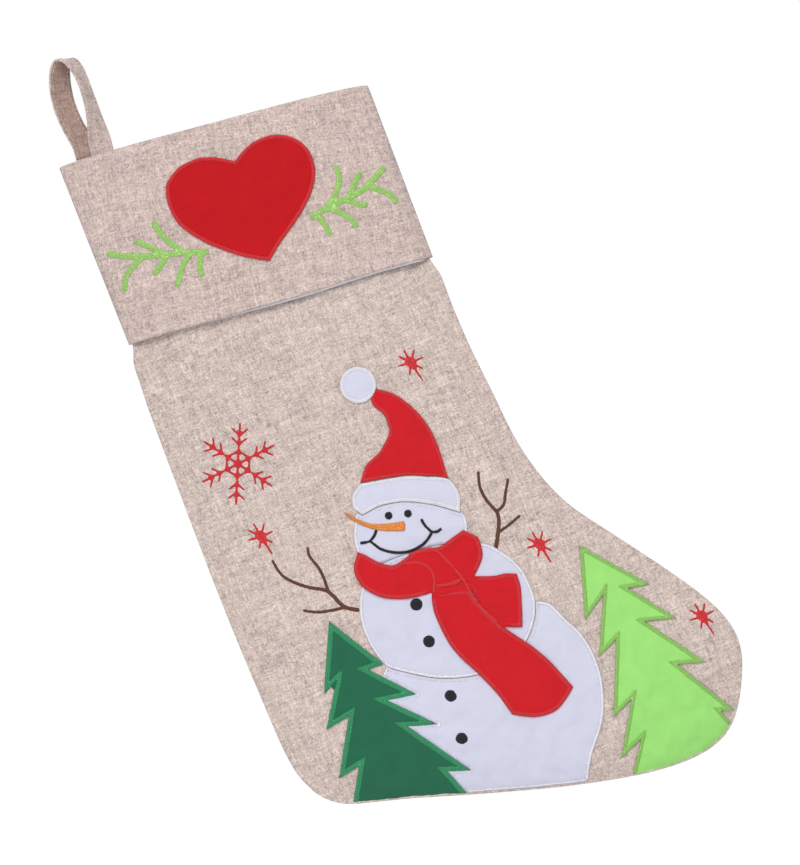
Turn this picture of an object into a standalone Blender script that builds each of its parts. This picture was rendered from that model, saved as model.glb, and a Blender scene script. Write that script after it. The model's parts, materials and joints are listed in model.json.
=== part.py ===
"""Appliqued Christmas stocking that hangs from a fabric loop.

It hangs with its mouth up, its front towards -Y and its toe towards +X. The origin is the point
inside the top of the loop that rests on the hook. Outlines are drawn on the flat pattern, in
millimetres: x runs towards the toe and z up, from the heel-side top corner of the cuff. Every layer
of cloth is a slab of constant thickness that follows the padded shape of the leg.
"""

import math

import bmesh
import bpy
import numpy as np
from mathutils import Vector
from mathutils.geometry import delaunay_2d_cdt

# Driving dimensions, in millimetres.
MM = 0.001
HOOK = (21.0, 2.0, 63.8)  # the hook point in pattern coordinates, with the depth in the middle
CUFF_TOP = 200.5
CUFF_HEM_LEFT = (13.5, -117.5)
CUFF_HEM_RIGHT = (212.0, -113.5)
CUFF_LAP = 3.5  # how far the cuff stands outside the leg's side seams
MOUTH_DROP = 1.0  # the leg's top edge is this far under the cuff's fold
FACING_DEPTH = 108.0  # the facing's sides are straight to here, just above the hem
HEM_EDGE = 1.0  # the facing shows this much under the hem

GAP = 0.4  # between layers that touch
LINING_GAP = 0.7
PATCH_GAP = 0.6  # under felt and thread, whose own facets span the curve differently
RIM = 0.15  # from the middle plane to a seam's inner face
PANEL = 1.2
LINING = 0.6
FACING = 0.6
CUFF = 0.9
FELT = 1.2
BORDER = 1.6
THREAD = 0.8
STRAP = 1.6
STRAP_WIDTH = 14.5
END_WIDTH = 13.0  # the sewn-in ends are drawn in a little
STRAP_ROOM = 0.4  # the flat strap ends stand clear of the curved lining by this much

BULGE = 8.5  # how far each side stands out in the flat middle
ROLL = 55.0  # how far in from the seam it takes to get there
NET = 20.0  # spacing of the points that carry the padded shape
LEG_CLEAR, CUFF_CLEAR, FELT_CLEAR = 9.0, 6.0, 5.0  # from those points to a piece's outline
SEAM_STEP = 14.0
FELT_STEP = 8.0
BORDER_WIDTH = 2.4
LINING_INSET = 6.5
FELT_INSET = 1.2  # felt cut off by the sole's seam stops this far from it
SIDE_POINTS = 10  # along each side seam of the cuff
MOUTH_RUN = 200.0  # the side seams are carried on this far above the mouth for the bulge

HINGE_Z = 7.5  # the loop folds on a line this far above the cuff
HINGE_GAP = 3.6  # clear room round the fold line, so that the strap can turn
LOOP_END_DEPTH = 15.0
TACK = (24, 35, -12, -5)  # its lowest and highest x, then z

FRONT, BACK = -1, 1

LINEN = ("linen", (209, 190, 183), 0.9)
CUFF_LINEN = ("cuff_linen", (207, 189, 182), 0.9)
PALE = ("pale_lining", (222, 221, 233), 0.85)
RED_FELT = ("red_felt", (207, 32, 41), 0.95)
WHITE_FELT = ("white_felt", (215, 215, 235), 0.95)
DARK_FELT = ("dark_green_felt", (42, 110, 82), 0.95)
LIGHT_FELT = ("light_green_felt", (161, 228, 124), 0.95)
RED_THREAD = ("red_thread", (222, 36, 46), 0.55)
WHITE_THREAD = ("white_thread", (236, 232, 240), 0.55)
DARK_THREAD = ("dark_green_thread", (49, 146, 98), 0.55)
LIGHT_THREAD = ("light_green_thread", (136, 190, 92), 0.55)
BROWN_THREAD = ("brown_thread", (101, 63, 47), 0.6)
BLACK_THREAD = ("black_thread", (28, 30, 38), 0.5)
ORANGE_THREAD = ("orange_thread", (237, 142, 64), 0.55)

# The leg's seam from the heel side of the hem, round the foot and up to the toe side of the hem.
LEG_SEAM = [
    (14.5, -129), (16, -157), (19.5, -195), (28.5, -283), (37.5, -352), (43.5, -390), (51, -410),
    (68, -426),
    (110, -434), (160, -444), (214, -453), (262, -457), (296, -453), (316, -440), (328, -416),
    (332.5, -393), (325, -370), (304, -342), (273, -307), (253, -284), (240, -261), (231, -235),
    (225, -205), (218.5, -172), (214.5, -144), (212.5, -125),
]

HEART_LEFT = [
    (108, -26), (98, -21), (85.5, -18.5), (74, -21), (65, -27.5), (61.5, -39), (65, -55), (78, -70),
    (97, -83.5), (113, -91),
]
HEART_RIGHT = [
    (113, -91), (122, -82), (137, -69.5), (148.5, -57), (154.5, -44), (153.5, -30.5), (146, -21),
    (134, -16.5), (120, -18.5), (108, -26),
]

POMPOM_CENTRE, POMPOM_RADIUS = (145.6, -178.5), 11.3
HAT_OUTER = [(150, -181), (165, -189), (177, -204.5), (183, -223), (184.5, -249)]
HAT_BASE = [(184.5, -249), (172, -244), (158, -240), (144, -238), (131, -237.5)]
HAT_INNER = [(131, -237.5), (137, -228), (148.5, -221), (156, -212.5), (156, -200), (147, -188.5)]
BRIM_LOWER = [
    (131, -237.5), (124.5, -243.5), (123, -251), (127.5, -256.5), (138, -254), (154, -255),
    (172, -262), (186, -270.5),
]
BRIM_UPPER = [(186, -270.5), (188.5, -261), (184.5, -249), (172, -244), (158, -240), (131, -237.5)]
HEAD = [
    (135, -250), (123.5, -255.5), (119.5, -266), (118.7, -278), (124, -290), (150, -300),
    (182, -294), (187.5, -282), (186.3, -268), (165, -250),
]
CHEST = [
    (125, -290), (115.5, -300), (110.5, -314), (110.5, -330), (116.5, -348), (128, -356.5),
    (149, -366), (173, -369.5), (195, -365), (210, -351), (216.5, -334), (213, -313), (202, -298),
    (190, -291), (160, -286),
]
BELLY = [
    (140, -352), (118, -350), (110, -375), (115, -420), (135, -455), (175, -475), (212, -462),
    (226, -436), (238, -416), (243.7, -392), (241, -368), (232, -351), (218, -335.5), (180, -345),
]
SCARF_BAND = [
    (119, -278), (128, -286), (139, -291.3), (154.5, -286), (169, -287.5), (185, -281.7),
    (192.5, -288), (191.5, -301), (184, -310), (172, -312.5), (157.5, -313), (143, -313),
    (127, -308.5), (116, -298), (114.5, -286),
]
LONG_TAIL_LEFT = [
    (156.5, -314), (155, -326), (160, -349.5), (172, -370), (180, -385), (185, -398.5),
]
LONG_TAIL_END = [(185, -398.5), (199, -404), (213, -402.5), (225, -392)]
LONG_TAIL_RIGHT = [(225, -392), (216, -374.5), (206, -360), (193, -345), (182, -327), (176, -311)]
SHORT_TAIL_LEFT = [(178, -309), (183.5, -328), (191.5, -343.5)]
SHORT_TAIL_END = [(191.5, -343.5), (197, -346), (204.5, -348)]
SHORT_TAIL_RIGHT = [(204.5, -348), (208, -333), (209.5, -316), (195, -313.5), (188, -306)]

DARK_TREE = [
    (91, -315), (115.5, -348), (105.5, -349), (130, -371), (111.5, -370), (137.5, -392),
    (119.5, -388.5), (150.5, -425.5), (136.5, -422.5), (148, -447), (74, -432), (86, -405),
    (72, -409.5), (88, -373.5), (72.5, -378), (86.5, -350), (76.5, -356.5),
]
LIGHT_TREE = [
    (252, -309.5), (288, -344), (274, -342.5), (298, -368), (278.5, -365), (308.5, -399),
    (291, -395.5), (319, -433.5), (310, -431), (330, -470), (240, -470), (257.5, -435),
    (243, -443), (258, -409), (244.5, -417), (258.5, -371), (245.5, -378.5), (258, -342.5),
    (243, -354.5),
]

EYES = {"left_eye": (143.0, -261.0), "right_eye": (154.8, -262.8)}
EYE_RADIUS = 2.2
BUTTONS = [(145.4, -318.0), (146.8, -342.0), (151.3, -377.8), (151.0, -405.3)]
BUTTON_RADIUS = 3.6
NOSE = [(117.3, -252.2), (123, -258.7), (131, -264.5), (141, -267.8), (151, -269.6)]
NOSE_TIP, NOSE_BASE = 0.7, 5.6
MOUTH_WIDTH = 1.8
MOUTH = [
    (128.3, -273.5), (133, -279.3), (140, -283.4), (147, -285.2), (154.5, -284.8), (161, -282.3),
    (166, -277.8),
]
CHEEKS = [
    [(133.9, -267), (131.5, -270.3), (128, -273.1), (121.8, -272.7)],
    [(161.8, -268.2), (163.1, -272.8), (166, -277.6), (169.4, -278.2), (172.3, -277)],
]

ARM_LIMB, ARM_TWIG, ARM_TIP = 2.6, 2.0, 1.6
LEFT_ARM = [
    [(112, -313), (101.8, -307.8), (94.9, -296.3), (81.6, -289.5), (70.4, -280), (66.6, -268.8)],
    [(95, -296.5), (94.7, -288.5), (93, -280.4), (89.2, -272), (89.7, -266.6)],
    [(103, -308.5), (93.9, -308.2), (85, -307), (76.9, -303.7)],
]
RIGHT_ARM = [
    [(201, -299), (206.3, -286.4), (208.3, -277.5), (204, -268.4), (201.8, -259), (203.5, -249)],
    [(208, -276), (212.9, -273.5), (216, -267), (220.3, -258)],
    [(205.5, -288.5), (212.8, -286), (221.6, -282)],
]
SPRIG_STEM, SPRIG_TWIG = 3.6, 3.4
LEFT_SPRIG = [
    [(16.4, -60), (36.5, -67.5), (56.8, -71), (78, -75.5)],
    [(49.9, -48.7), (53.4, -59.2), (62.5, -71.5)],
    [(36, -57.2), (42.9, -62.8), (51.5, -70)],
    [(21.2, -85), (25.3, -75.5), (37, -68.5)],
    [(41.4, -80.4), (48.5, -75.3), (53, -70.5)],
    [(53.8, -91.4), (58.8, -82.5), (66.5, -73.5)],
    [(70.7, -89.3), (70.4, -82.4), (74, -74.8)],
]
RIGHT_SPRIG = [
    [(144, -71.5), (161, -67.5), (173.2, -65), (184, -60.8), (196.1, -52.5)],
    [(167.1, -44.8), (167.4, -53.2), (161.6, -62.9), (152.2, -69.6)],
    [(180.5, -52.2), (174.7, -59.6), (169.5, -66)],
    [(197.8, -76.1), (194.8, -69.5), (183.2, -61.5)],
    [(180, -73.3), (173.1, -70.1), (168.4, -66.3)],
    [(170.2, -84.8), (167.3, -77.6), (157.2, -69)],
    [(153, -85.3), (151.7, -78.2), (147.3, -71)],
]

# Each star's longest ray points down towards the toe. Angles are in degrees from +x.
STARS = {
    "star_upper": (180.7, -173.6), "star_heel": (63.7, -253.3),
    "star_instep": (228.3, -302.5), "star_toe": (314.1, -371.7),
}
STAR_WIDTHS = (2.0, 1.4)  # at the middle and at the tip
STAR_RAYS = [(105, 9.5), (62, 8.7), (10, 8.5), (-42, 8.7), (-72, 14.0), (-112, 8.0), (180, 8.4),
             (138, 9.2)]
FLAKE_CENTRE, FLAKE_RADIUS = (61.6, -206.2), 25.5
FLAKE_ANGLE = 72.0
FLAKE_BARBS = ((17.5, 7.0), (12.0, 6.5))  # where each pair leaves the arm, and its length
FLAKE_RING = 8.0
FLAKE_ARM, FLAKE_BARB = (1.8, 1.6), (1.6, 1.4)
FLAKE_LEAN = 50
RAY_LAP = 0.6  # rays start this far behind the point they leave from

# Strap centreline as (x, depth, z, turn of its width about the vertical in degrees).
LOOP = [
    (19.8, 3.5, 9.3, 5), (18.6, 4.6, 14, 12), (15.9, 6.0, 22, 19), (13.9, 7.3, 33, 20),
    (13.5, 7.6, 43, 22), (14.8, 6.8, 53, 29), (17.4, 5.0, 60.5, 36), (21.0, 2.2, 64.6, 42),
    (25.0, -0.6, 62.5, 52), (28.4, -2.2, 55, 62), (30.2, -2.6, 44, 69), (30.7, -1.6, 33, 65),
    (30.4, 0.2, 22, 52), (30.0, 1.4, 14, 28), (29.6, 1.8, 9.3, 10),
]
LOOP_STEP = 5.0


# Outlines on the flat pattern.


def smooth(points, step, closed=False):
    """A curve through the points, with about one new point for each step of its length."""
    points = [Vector(p) for p in points]
    count = len(points)
    found = []
    for i in range(count if closed else count - 1):
        at = [points[(i + k) % count] if closed else points[min(max(i + k, 0), count - 1)]
              for k in (-1, 0, 1, 2)]
        pieces = max(1, round((at[2] - at[1]).length / step))
        for part in range(pieces):
            t = part / pieces
            found.append(0.5 * (2 * at[1] + (at[2] - at[0]) * t
                                + (2 * at[0] - 5 * at[1] + 4 * at[2] - at[3]) * t ** 2
                                + (3 * at[1] - at[0] - 3 * at[2] + at[3]) * t ** 3))
    return found if closed else found + [points[-1]]


def joined(*runs, step=FELT_STEP):
    """One closed outline of smooth runs that meet at corners."""
    return [p for run in runs for p in smooth(run, step)[:-1]]


def stepped(loop, step=FELT_STEP):
    """A closed outline of straight sides, with a point for about each step along them."""
    loop = [Vector(p) for p in loop]
    found = []
    for a, b in zip(loop, loop[1:] + loop[:1]):
        pieces = max(1, round((b - a).length / step))
        found += [a.lerp(b, i / pieces) for i in range(pieces)]
    return found


def circle(centre, radius, sides=16):
    """A round outline with straight sides."""
    turns = [math.tau * i / sides for i in range(sides)]
    return [Vector(centre) + radius * Vector((math.cos(t), math.sin(t))) for t in turns]


def anticlockwise(loop):
    """The loop as vectors, turned round if it runs clockwise."""
    loop = [Vector(p) for p in loop]
    twice_area = sum(a.x * b.y - b.x * a.y for a, b in zip(loop, loop[1:] + loop[:1]))
    return loop if twice_area > 0 else loop[::-1]


def distance_to(points, loop):
    """Each point's distance to a closed outline."""
    start = np.array(loop)
    along = np.roll(start, -1, axis=0) - start
    offset = points[:, None] - start
    share = np.clip((offset * along).sum(-1) / (along ** 2).sum(-1), 0, 1)
    return np.linalg.norm(offset - share[..., None] * along, axis=-1).min(axis=1)


def inset(loop, width):
    """The outline moved inwards, or outwards when width is negative, with its corners kept."""
    loop = anticlockwise(loop)
    found = []
    for before, at, after in zip(loop[-1:] + loop[:-1], loop, loop[1:] + loop[:1]):
        a, b = (at - before).normalized(), (after - at).normalized()
        normals = Vector((-a.y, a.x)), Vector((-b.y, b.x))
        found.append(at + (normals[0] + normals[1]) * width / (1 + normals[0].dot(normals[1])))
    apart = distance_to(np.array(found), loop)
    return [p for p, far in zip(found, apart) if far > 0.98 * abs(width)]


def stroke(points, start_width, end_width=None, step=4.0):
    """A line of stitches as a closed outline that can taper."""
    path = smooth(points, step)
    end_width = start_width if end_width is None else end_width
    sides = [], []
    for i, at in enumerate(path):
        along = (path[min(i + 1, len(path) - 1)] - path[max(i - 1, 0)]).normalized()
        across = Vector((-along.y, along.x))
        half = 0.5 * (start_width + (end_width - start_width) * i / (len(path) - 1))
        sides[0].append(at - across * half)
        sides[1].append(at + across * half)
    return sides[0] + sides[1][::-1]


# The padded shape.


def side_seams():
    """The leg's seam as a flat outline, from the heel side of the mouth to the toe side."""
    left, right, last = CUFF_HEM_LEFT, CUFF_HEM_RIGHT, SIDE_POINTS - 1
    foot = smooth(LEG_SEAM, SEAM_STEP)
    heel_side = [Vector((CUFF_LAP, 0)).lerp(Vector((left[0] + CUFF_LAP, left[1])), t / last)
                 for t in range(SIDE_POINTS)]
    toe_side = [Vector((right[0] - CUFF_LAP, right[1])).lerp(Vector((CUFF_TOP - CUFF_LAP, 0)), t / last)
                for t in range(SIDE_POINTS)]
    return heel_side + foot + toe_side


SEAM = side_seams()


def seam_line():
    """The seam carried on above the mouth, as the ends of its straight pieces."""
    above_left = SEAM[0] + (SEAM[0] - SEAM[SIDE_POINTS - 1]).normalized() * MOUTH_RUN
    above_right = SEAM[-1] + (SEAM[-1] - SEAM[-SIDE_POINTS]).normalized() * MOUTH_RUN
    line = np.array([above_left, *SEAM, above_right])
    return line[:-1], line[1:]


SEAM_STARTS, SEAM_ENDS = seam_line()


def seam_distance(x, z):
    """A smooth distance to the whole seam, from the integral of 1/r^3 along it.

    Beside one straight seam it is the true distance, and it stays smooth in corners.
    """
    points = np.stack([x, z], axis=-1)[:, None]
    along = SEAM_ENDS - SEAM_STARTS
    length = np.linalg.norm(along, axis=1)
    along = along / length[:, None]
    offset = points - SEAM_STARTS
    run = (offset * along).sum(axis=-1)
    height = np.maximum(np.linalg.norm(offset - run[..., None] * along, axis=-1), 1e-3)
    ahead, behind = length - run, -run
    pull = (ahead / np.hypot(height, ahead) - behind / np.hypot(height, behind)) / height ** 2
    return np.sqrt(2 / pull.sum(axis=1))


def bulge(x, z):
    """How far the padded leg stands out from its seams."""
    share = np.minimum(seam_distance(x, z) / ROLL, 1)
    return BULGE * (1 - (1 - share) ** 2)


def layer(offset):
    """The inner face of a cloth layer that starts offset millimetres above the seam's inner face."""
    return lambda x, z: RIM + offset + bulge(x, z)


ON_LEG = layer(PANEL + PATCH_GAP)
ON_LEG_FELT = layer(PANEL + PATCH_GAP + FELT + GAP)
UNDER_CUFF = PANEL + GAP + FACING + GAP
ON_CUFF = layer(UNDER_CUFF + CUFF + PATCH_GAP)


def side_depth(x, z):
    """How far a point of the cuff is inside the nearer side edge of the cuff."""
    left = x - z * CUFF_HEM_LEFT[0] / CUFF_HEM_LEFT[1]
    right = CUFF_TOP + z * (CUFF_HEM_RIGHT[0] - CUFF_TOP) / CUFF_HEM_RIGHT[1] - x
    return np.minimum(left, right)


def cuff_inner(x, z):
    """The cuff's inner face: closed at its side seams, over the leg and the facing elsewhere."""
    share = np.clip(side_depth(x, z) / CUFF_LAP, 0, 1)
    return RIM + UNDER_CUFF * share + np.where(share > 0.99, bulge(x, z), 0)


# Solids.


def net_points(loops, clear):
    """Points of the net that carries the padded shape, clear of the outlines and of the flat middle."""
    corners = np.array([p for loop in loops for p in loop])
    low, high = corners.min(axis=0), corners.max(axis=0)
    rows = np.arange(math.floor(low[1] / NET), math.ceil(high[1] / NET) + 1)
    columns = np.arange(math.floor(low[0] / NET), math.ceil(high[0] / NET) + 1)
    net = np.array([((c + 0.5 * (r % 2)) * NET, r * NET) for r in rows for c in columns])
    for loop in loops:
        net = net[distance_to(net, loop) > clear]
    return net[seam_distance(net[:, 0], net[:, 1]) < ROLL + NET] if len(net) else net


def triangulated(shape, cuts, within, extra, creases=()):
    """Points and triangles of the joined outlines in shape, less the cuts and kept inside within.

    creases are open lines that the triangles' edges follow.
    """
    loops = [anticlockwise(loop) for loop in [*shape, *cuts, *within]]
    points, faces = [], []
    for loop in loops:
        faces.append(list(range(len(points), len(points) + len(loop))))
        points += [Vector(p) for p in loop]
    points += [Vector(p) for p in extra]
    edges = []
    for line in creases:
        edges += [(len(points) + i, len(points) + i + 1) for i in range(len(line) - 1)]
        points += line
    found, _, triangles, _, _, sources = delaunay_2d_cdt(points, edges, faces, 1, 1e-3)
    first_cut, first_within = len(shape), len(shape) + len(cuts)
    kept = []
    for triangle, source in zip(triangles, sources):
        inside = any(s < first_cut for s in source)
        cut = any(first_cut <= s < first_within for s in source)
        held = all(s in source for s in range(first_within, len(loops)))
        if inside and held and not cut:
            kept.append(triangle)
    used = sorted({i for triangle in kept for i in triangle})
    place = {i: k for k, i in enumerate(used)}
    return np.array([found[i] for i in used]), [[place[i] for i in t] for t in kept]


def open_edges(triangles):
    """The edges that only one triangle has, in its direction."""
    edges = [(t[i], t[(i + 1) % 3]) for t in triangles for i in range(3)]
    directed = set(edges)
    return [(a, b) for a, b in edges if (b, a) not in directed]


def material_named(finish):
    """The plain material of a finish, made once."""
    name, colour, roughness = finish
    material = bpy.data.materials.get(name)
    if material is None:
        material = bpy.data.materials.new(name)
        material.use_nodes = True
        shader = material.node_tree.nodes["Principled BSDF"]
        linear = [(c / 255 / 12.92) if c < 11 else ((c / 255 + 0.055) / 1.055) ** 2.4 for c in colour]
        shader.inputs["Base Color"].default_value = (*linear, 1)
        shader.inputs["Roughness"].default_value = roughness
        material.diffuse_color = (*linear, 1)
    return material


def add_object(name, points, faces, finish):
    """A named object whose mesh is given in pattern millimetres."""
    mesh = bpy.data.meshes.new(name)
    mesh.from_pydata([[(c - h) * MM for c, h in zip(p, HOOK)] for p in points], [], faces)
    shape = bmesh.new()
    shape.from_mesh(mesh)
    bmesh.ops.recalc_face_normals(shape, faces=shape.faces)
    shape.to_mesh(mesh)
    shape.free()
    mesh.shade_smooth()
    mesh.set_sharp_from_angle(angle=math.radians(40))
    mesh.materials.append(material_named(finish))
    made = bpy.data.objects.new(name, mesh)
    bpy.context.scene.collection.objects.link(made)
    return made


def slab(name, finish, shape, inner, thickness, side=FRONT, cuts=(), within=(), creases=(),
         clear=None):
    """Cloth or thread of even thickness over the padded shape.

    inner gives its inner face's distance from the middle plane, and clear the room left between the
    net's points and the outlines, or None for a narrow piece that needs no points of its own.
    """
    extra = [] if clear is None else net_points([*shape, *cuts, *within], clear)
    flat, triangles = triangulated(shape, cuts, within, extra, creases)
    low = inner(flat[:, 0], flat[:, 1])
    count = len(flat)
    points = [(x, side * y, z) for (x, z), y in zip(flat, low)]
    points += [(x, side * (y + thickness), z) for (x, z), y in zip(flat, low)]
    faces = [t[::-1] for t in triangles] + [[i + count for i in t] for t in triangles]
    faces += [[a, b, b + count, a + count] for a, b in open_edges(triangles)]
    return add_object(name, points, faces, finish)


def felt(name, finish, loop, cuts=(), within=(), inner=ON_LEG):
    """A felt piece alone, cut back from the pieces that lie against it."""
    cuts = [inset(cut, -GAP) for cut in cuts]
    return slab(name, finish, [loop], inner, FELT, cuts=cuts, within=within, clear=FELT_CLEAR)


def bordered_felt(name, finish, thread, loop, cuts=(), within=(), inner=ON_LEG):
    """A felt piece with the satin-stitched border that runs round it as a piece of its own."""
    room = [inset(cut, -GAP) for cut in cuts]
    border = inset(loop, BORDER_WIDTH)
    slab(name, finish, [inset(loop, BORDER_WIDTH + GAP)], inner, FELT,
         cuts=room, within=within, clear=FELT_CLEAR)
    slab(f"{name}_border", thread, [loop], inner, BORDER, cuts=[border, *room], within=within)


# The stocking's pieces.


def leg_outline(edge):
    """The leg moved in by edge from its seam, with its mouth just under the cuff's fold."""
    loop = inset(SEAM, edge) if edge else SEAM
    sides = [p for p in loop if p.y < -SEAM_STEP / 2]
    heel, toe = SEAM[0].x + edge + GAP, SEAM[-1].x - edge - GAP
    pieces = round((toe - heel) / SEAM_STEP)
    mouth = [Vector((toe + (heel - toe) * i / pieces, -MOUTH_DROP)) for i in range(pieces + 1)]
    return sides + mouth


def add_leg():
    """The front and back panels with their lining."""
    for side, word in ((FRONT, "front"), (BACK, "back")):
        slab(f"{word}_panel", LINEN, [leg_outline(0)], layer(0), PANEL, side, clear=LEG_CLEAR)
        slab(f"{word}_lining", PALE, [leg_outline(LINING_INSET)], layer(-LINING_GAP - LINING), LINING,
             side, clear=LEG_CLEAR)


def cuff_outline():
    """The cuff's outline, with its slightly uneven hem."""
    hem = [Vector(CUFF_HEM_LEFT), Vector((75, -117.2)), Vector((130, -116.2)), Vector((178, -113.8)),
           Vector(CUFF_HEM_RIGHT)]
    return stepped([(0, 0), *smooth(hem, SEAM_STEP), (CUFF_TOP, 0)], SEAM_STEP)


def add_cuff():
    """The turned-down cuff, with the facing behind it that stands out under its hem."""
    outline = cuff_outline()
    seams = [SEAM[:SIDE_POINTS], SEAM[-SIDE_POINTS:]]
    leg = [p for p in leg_outline(0) if p.y > -FACING_DEPTH]
    heel_side = [p for p in leg if p.x < CUFF_TOP / 4 and p.y < -2 * MOUTH_DROP]
    hem = [p + Vector((0, -HEM_EDGE)) for p in outline
           if p.y < -FACING_DEPTH and side_depth(p.x, p.y) > CUFF_LAP]
    facing = heel_side + hem + leg[len(heel_side):]
    for side, word in ((FRONT, "front"), (BACK, "back")):
        slab(f"cuff_{word}", CUFF_LINEN, [outline], cuff_inner, CUFF, side,
             creases=seams, clear=CUFF_CLEAR)
        slab(f"cuff_facing_{word}", PALE, [facing], layer(PANEL + GAP), FACING, side, clear=CUFF_CLEAR)


def smooth_stations(rows, step):
    """Places and turns along the strap, smoothed together."""
    rows = [Vector(row) for row in rows]
    found = smooth(rows, step)
    return [(Vector(row[:3]), math.radians(row[3])) for row in found]


def add_loop():
    """The folded strap above the fold line, as one closed ribbon."""
    stations = smooth_stations(LOOP, LOOP_STEP)
    points, faces = [], []
    for i, (at, turn) in enumerate(stations):
        before, after = stations[max(i - 1, 0)][0], stations[min(i + 1, len(stations) - 1)][0]
        along = (after - before).normalized()
        across = Vector((math.cos(turn), math.sin(turn), 0))
        across = (across - along * across.dot(along)).normalized()
        out = along.cross(across)
        for w, t in ((-1, -1), (1, -1), (1, 1), (-1, 1)):
            points.append(at + across * w * STRAP_WIDTH / 2 + out * t * STRAP / 2)
        if i:
            faces += [[4 * i - 4 + k, 4 * i - 4 + (k + 1) % 4, 4 * i + (k + 1) % 4, 4 * i + k]
                      for k in range(4)]
    last = 4 * len(stations) - 4
    faces += [[3, 2, 1, 0], [last, last + 1, last + 2, last + 3]]
    add_object("hanging_loop", points, faces, CUFF_LINEN)


def box_outline(low_x, high_x, low_z, high_z, pieces=4):
    """An upright rectangle with points along its sides."""
    steps = [i / pieces for i in range(pieces + 1)]
    left = [Vector((low_x, high_z + (low_z - high_z) * t)) for t in steps]
    right = [Vector((high_x, low_z + (high_z - low_z) * t)) for t in steps]
    return left + right


def add_loop_ends():
    """The strap's two ends, stacked on the back lining inside the mouth, and their tack."""
    top = HINGE_Z - HINGE_GAP / 2
    under = -LINING_GAP - LINING - STRAP_ROOM - STRAP
    for name, row, stack in (("loop_end_left", LOOP[0], 0), ("loop_end_right", LOOP[-1], 1)):
        outline = box_outline(row[0] - END_WIDTH / 2, row[0] + END_WIDTH / 2, -LOOP_END_DEPTH, top)
        slab(name, CUFF_LINEN, [outline], layer(under - stack * (STRAP + GAP)), STRAP, BACK)
    tack = box_outline(*TACK, pieces=1)
    slab("loop_tack", WHITE_THREAD, [tack], layer(under - STRAP - 2 * GAP - THREAD), THREAD, BACK)


def add_cuff_trim():
    """The heart and the two sprigs."""
    heart = joined(HEART_LEFT, HEART_RIGHT)
    bordered_felt("heart", RED_FELT, RED_THREAD, heart, inner=ON_CUFF)
    room = [inset(heart, -GAP)]
    for name, lines in (("left_sprig", LEFT_SPRIG), ("right_sprig", RIGHT_SPRIG)):
        shape = [stroke(line, SPRIG_TWIG if i else SPRIG_STEM) for i, line in enumerate(lines)]
        slab(name, LIGHT_THREAD, shape, ON_CUFF, THREAD, cuts=room)


def add_trees(inside):
    """The two fir trees, kept inside the sole's seam."""
    dark, light = stepped(DARK_TREE), stepped(LIGHT_TREE)
    bordered_felt("dark_tree", DARK_FELT, DARK_THREAD, dark, within=inside)
    bordered_felt("light_tree", LIGHT_FELT, LIGHT_THREAD, light, within=inside)


def add_snowman(inside):
    """The snowman, its clothes, its buttons and its arms."""
    pompom = circle(POMPOM_CENTRE, POMPOM_RADIUS)
    brim = joined(BRIM_LOWER, BRIM_UPPER)
    hat = joined(HAT_OUTER, HAT_BASE, HAT_INNER)
    band = smooth(SCARF_BAND, FELT_STEP, closed=True)
    long_tail = joined(LONG_TAIL_LEFT, LONG_TAIL_END, LONG_TAIL_RIGHT)
    short_tail = joined(SHORT_TAIL_LEFT, SHORT_TAIL_END, SHORT_TAIL_RIGHT)
    chest = smooth(CHEST, FELT_STEP, closed=True)
    head = smooth(HEAD, FELT_STEP, closed=True)
    belly = smooth(BELLY, FELT_STEP, closed=True)

    bordered_felt("pompom", WHITE_FELT, WHITE_THREAD, pompom)
    bordered_felt("hat_brim", WHITE_FELT, WHITE_THREAD, brim)
    bordered_felt("hat", RED_FELT, RED_THREAD, hat, cuts=[pompom, brim])
    felt("snowman_head", WHITE_FELT, head, cuts=[brim, chest])
    felt("snowman_chest", WHITE_FELT, chest, cuts=[DARK_TREE])
    felt("snowman_belly", WHITE_FELT, belly, cuts=[chest, DARK_TREE, LIGHT_TREE], within=inside)
    scarf = {"inner": ON_LEG_FELT}
    bordered_felt("scarf_band", RED_FELT, RED_THREAD, band, **scarf)
    bordered_felt("scarf_long_tail", RED_FELT, RED_THREAD, long_tail, cuts=[band], **scarf)
    bordered_felt("scarf_short_tail", RED_FELT, RED_THREAD, short_tail, cuts=[band, long_tail], **scarf)
    add_face(band)
    for number, centre in enumerate(BUTTONS, 1):
        slab(f"button_{number}", BLACK_THREAD, [circle(centre, BUTTON_RADIUS, 12)], ON_LEG_FELT, THREAD)
    room = [inset(chest, -GAP)]
    for name, lines in (("left_arm", LEFT_ARM), ("right_arm", RIGHT_ARM)):
        shape = [stroke(line, ARM_TWIG if i else ARM_LIMB, ARM_TIP) for i, line in enumerate(lines)]
        slab(name, BROWN_THREAD, shape, ON_LEG, THREAD, cuts=room)


def add_face(scarf):
    """The eyes, nose and mouth, the mouth cut back from the scarf and the nose."""
    for name, centre in EYES.items():
        slab(name, BLACK_THREAD, [circle(centre, EYE_RADIUS, 12)], ON_LEG_FELT, THREAD)
    nose = stroke(NOSE, NOSE_TIP, NOSE_BASE)
    slab("nose", ORANGE_THREAD, [nose], layer(PANEL + PATCH_GAP + BORDER + GAP), THREAD)
    shape = [stroke(line, MOUTH_WIDTH) for line in (MOUTH, *CHEEKS)]
    room = [inset(scarf, -GAP), inset(nose, -GAP)]
    slab("mouth", BLACK_THREAD, shape, ON_LEG_FELT, THREAD, cuts=room)


def ray(centre, angle, start, end, start_width, end_width):
    """A straight run of stitches from start to end, measured out from the centre."""
    way = Vector((math.cos(math.radians(angle)), math.sin(math.radians(angle))))
    at = Vector(centre)
    return stroke([at + way * start, at + way * end], start_width, end_width, step=end)


def add_stars():
    """Four stars of eight uneven rays."""
    for name, centre in STARS.items():
        shape = [ray(centre, angle, -RAY_LAP, length, *STAR_WIDTHS) for angle, length in STAR_RAYS]
        slab(name, RED_THREAD, shape, ON_LEG, THREAD)


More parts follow.
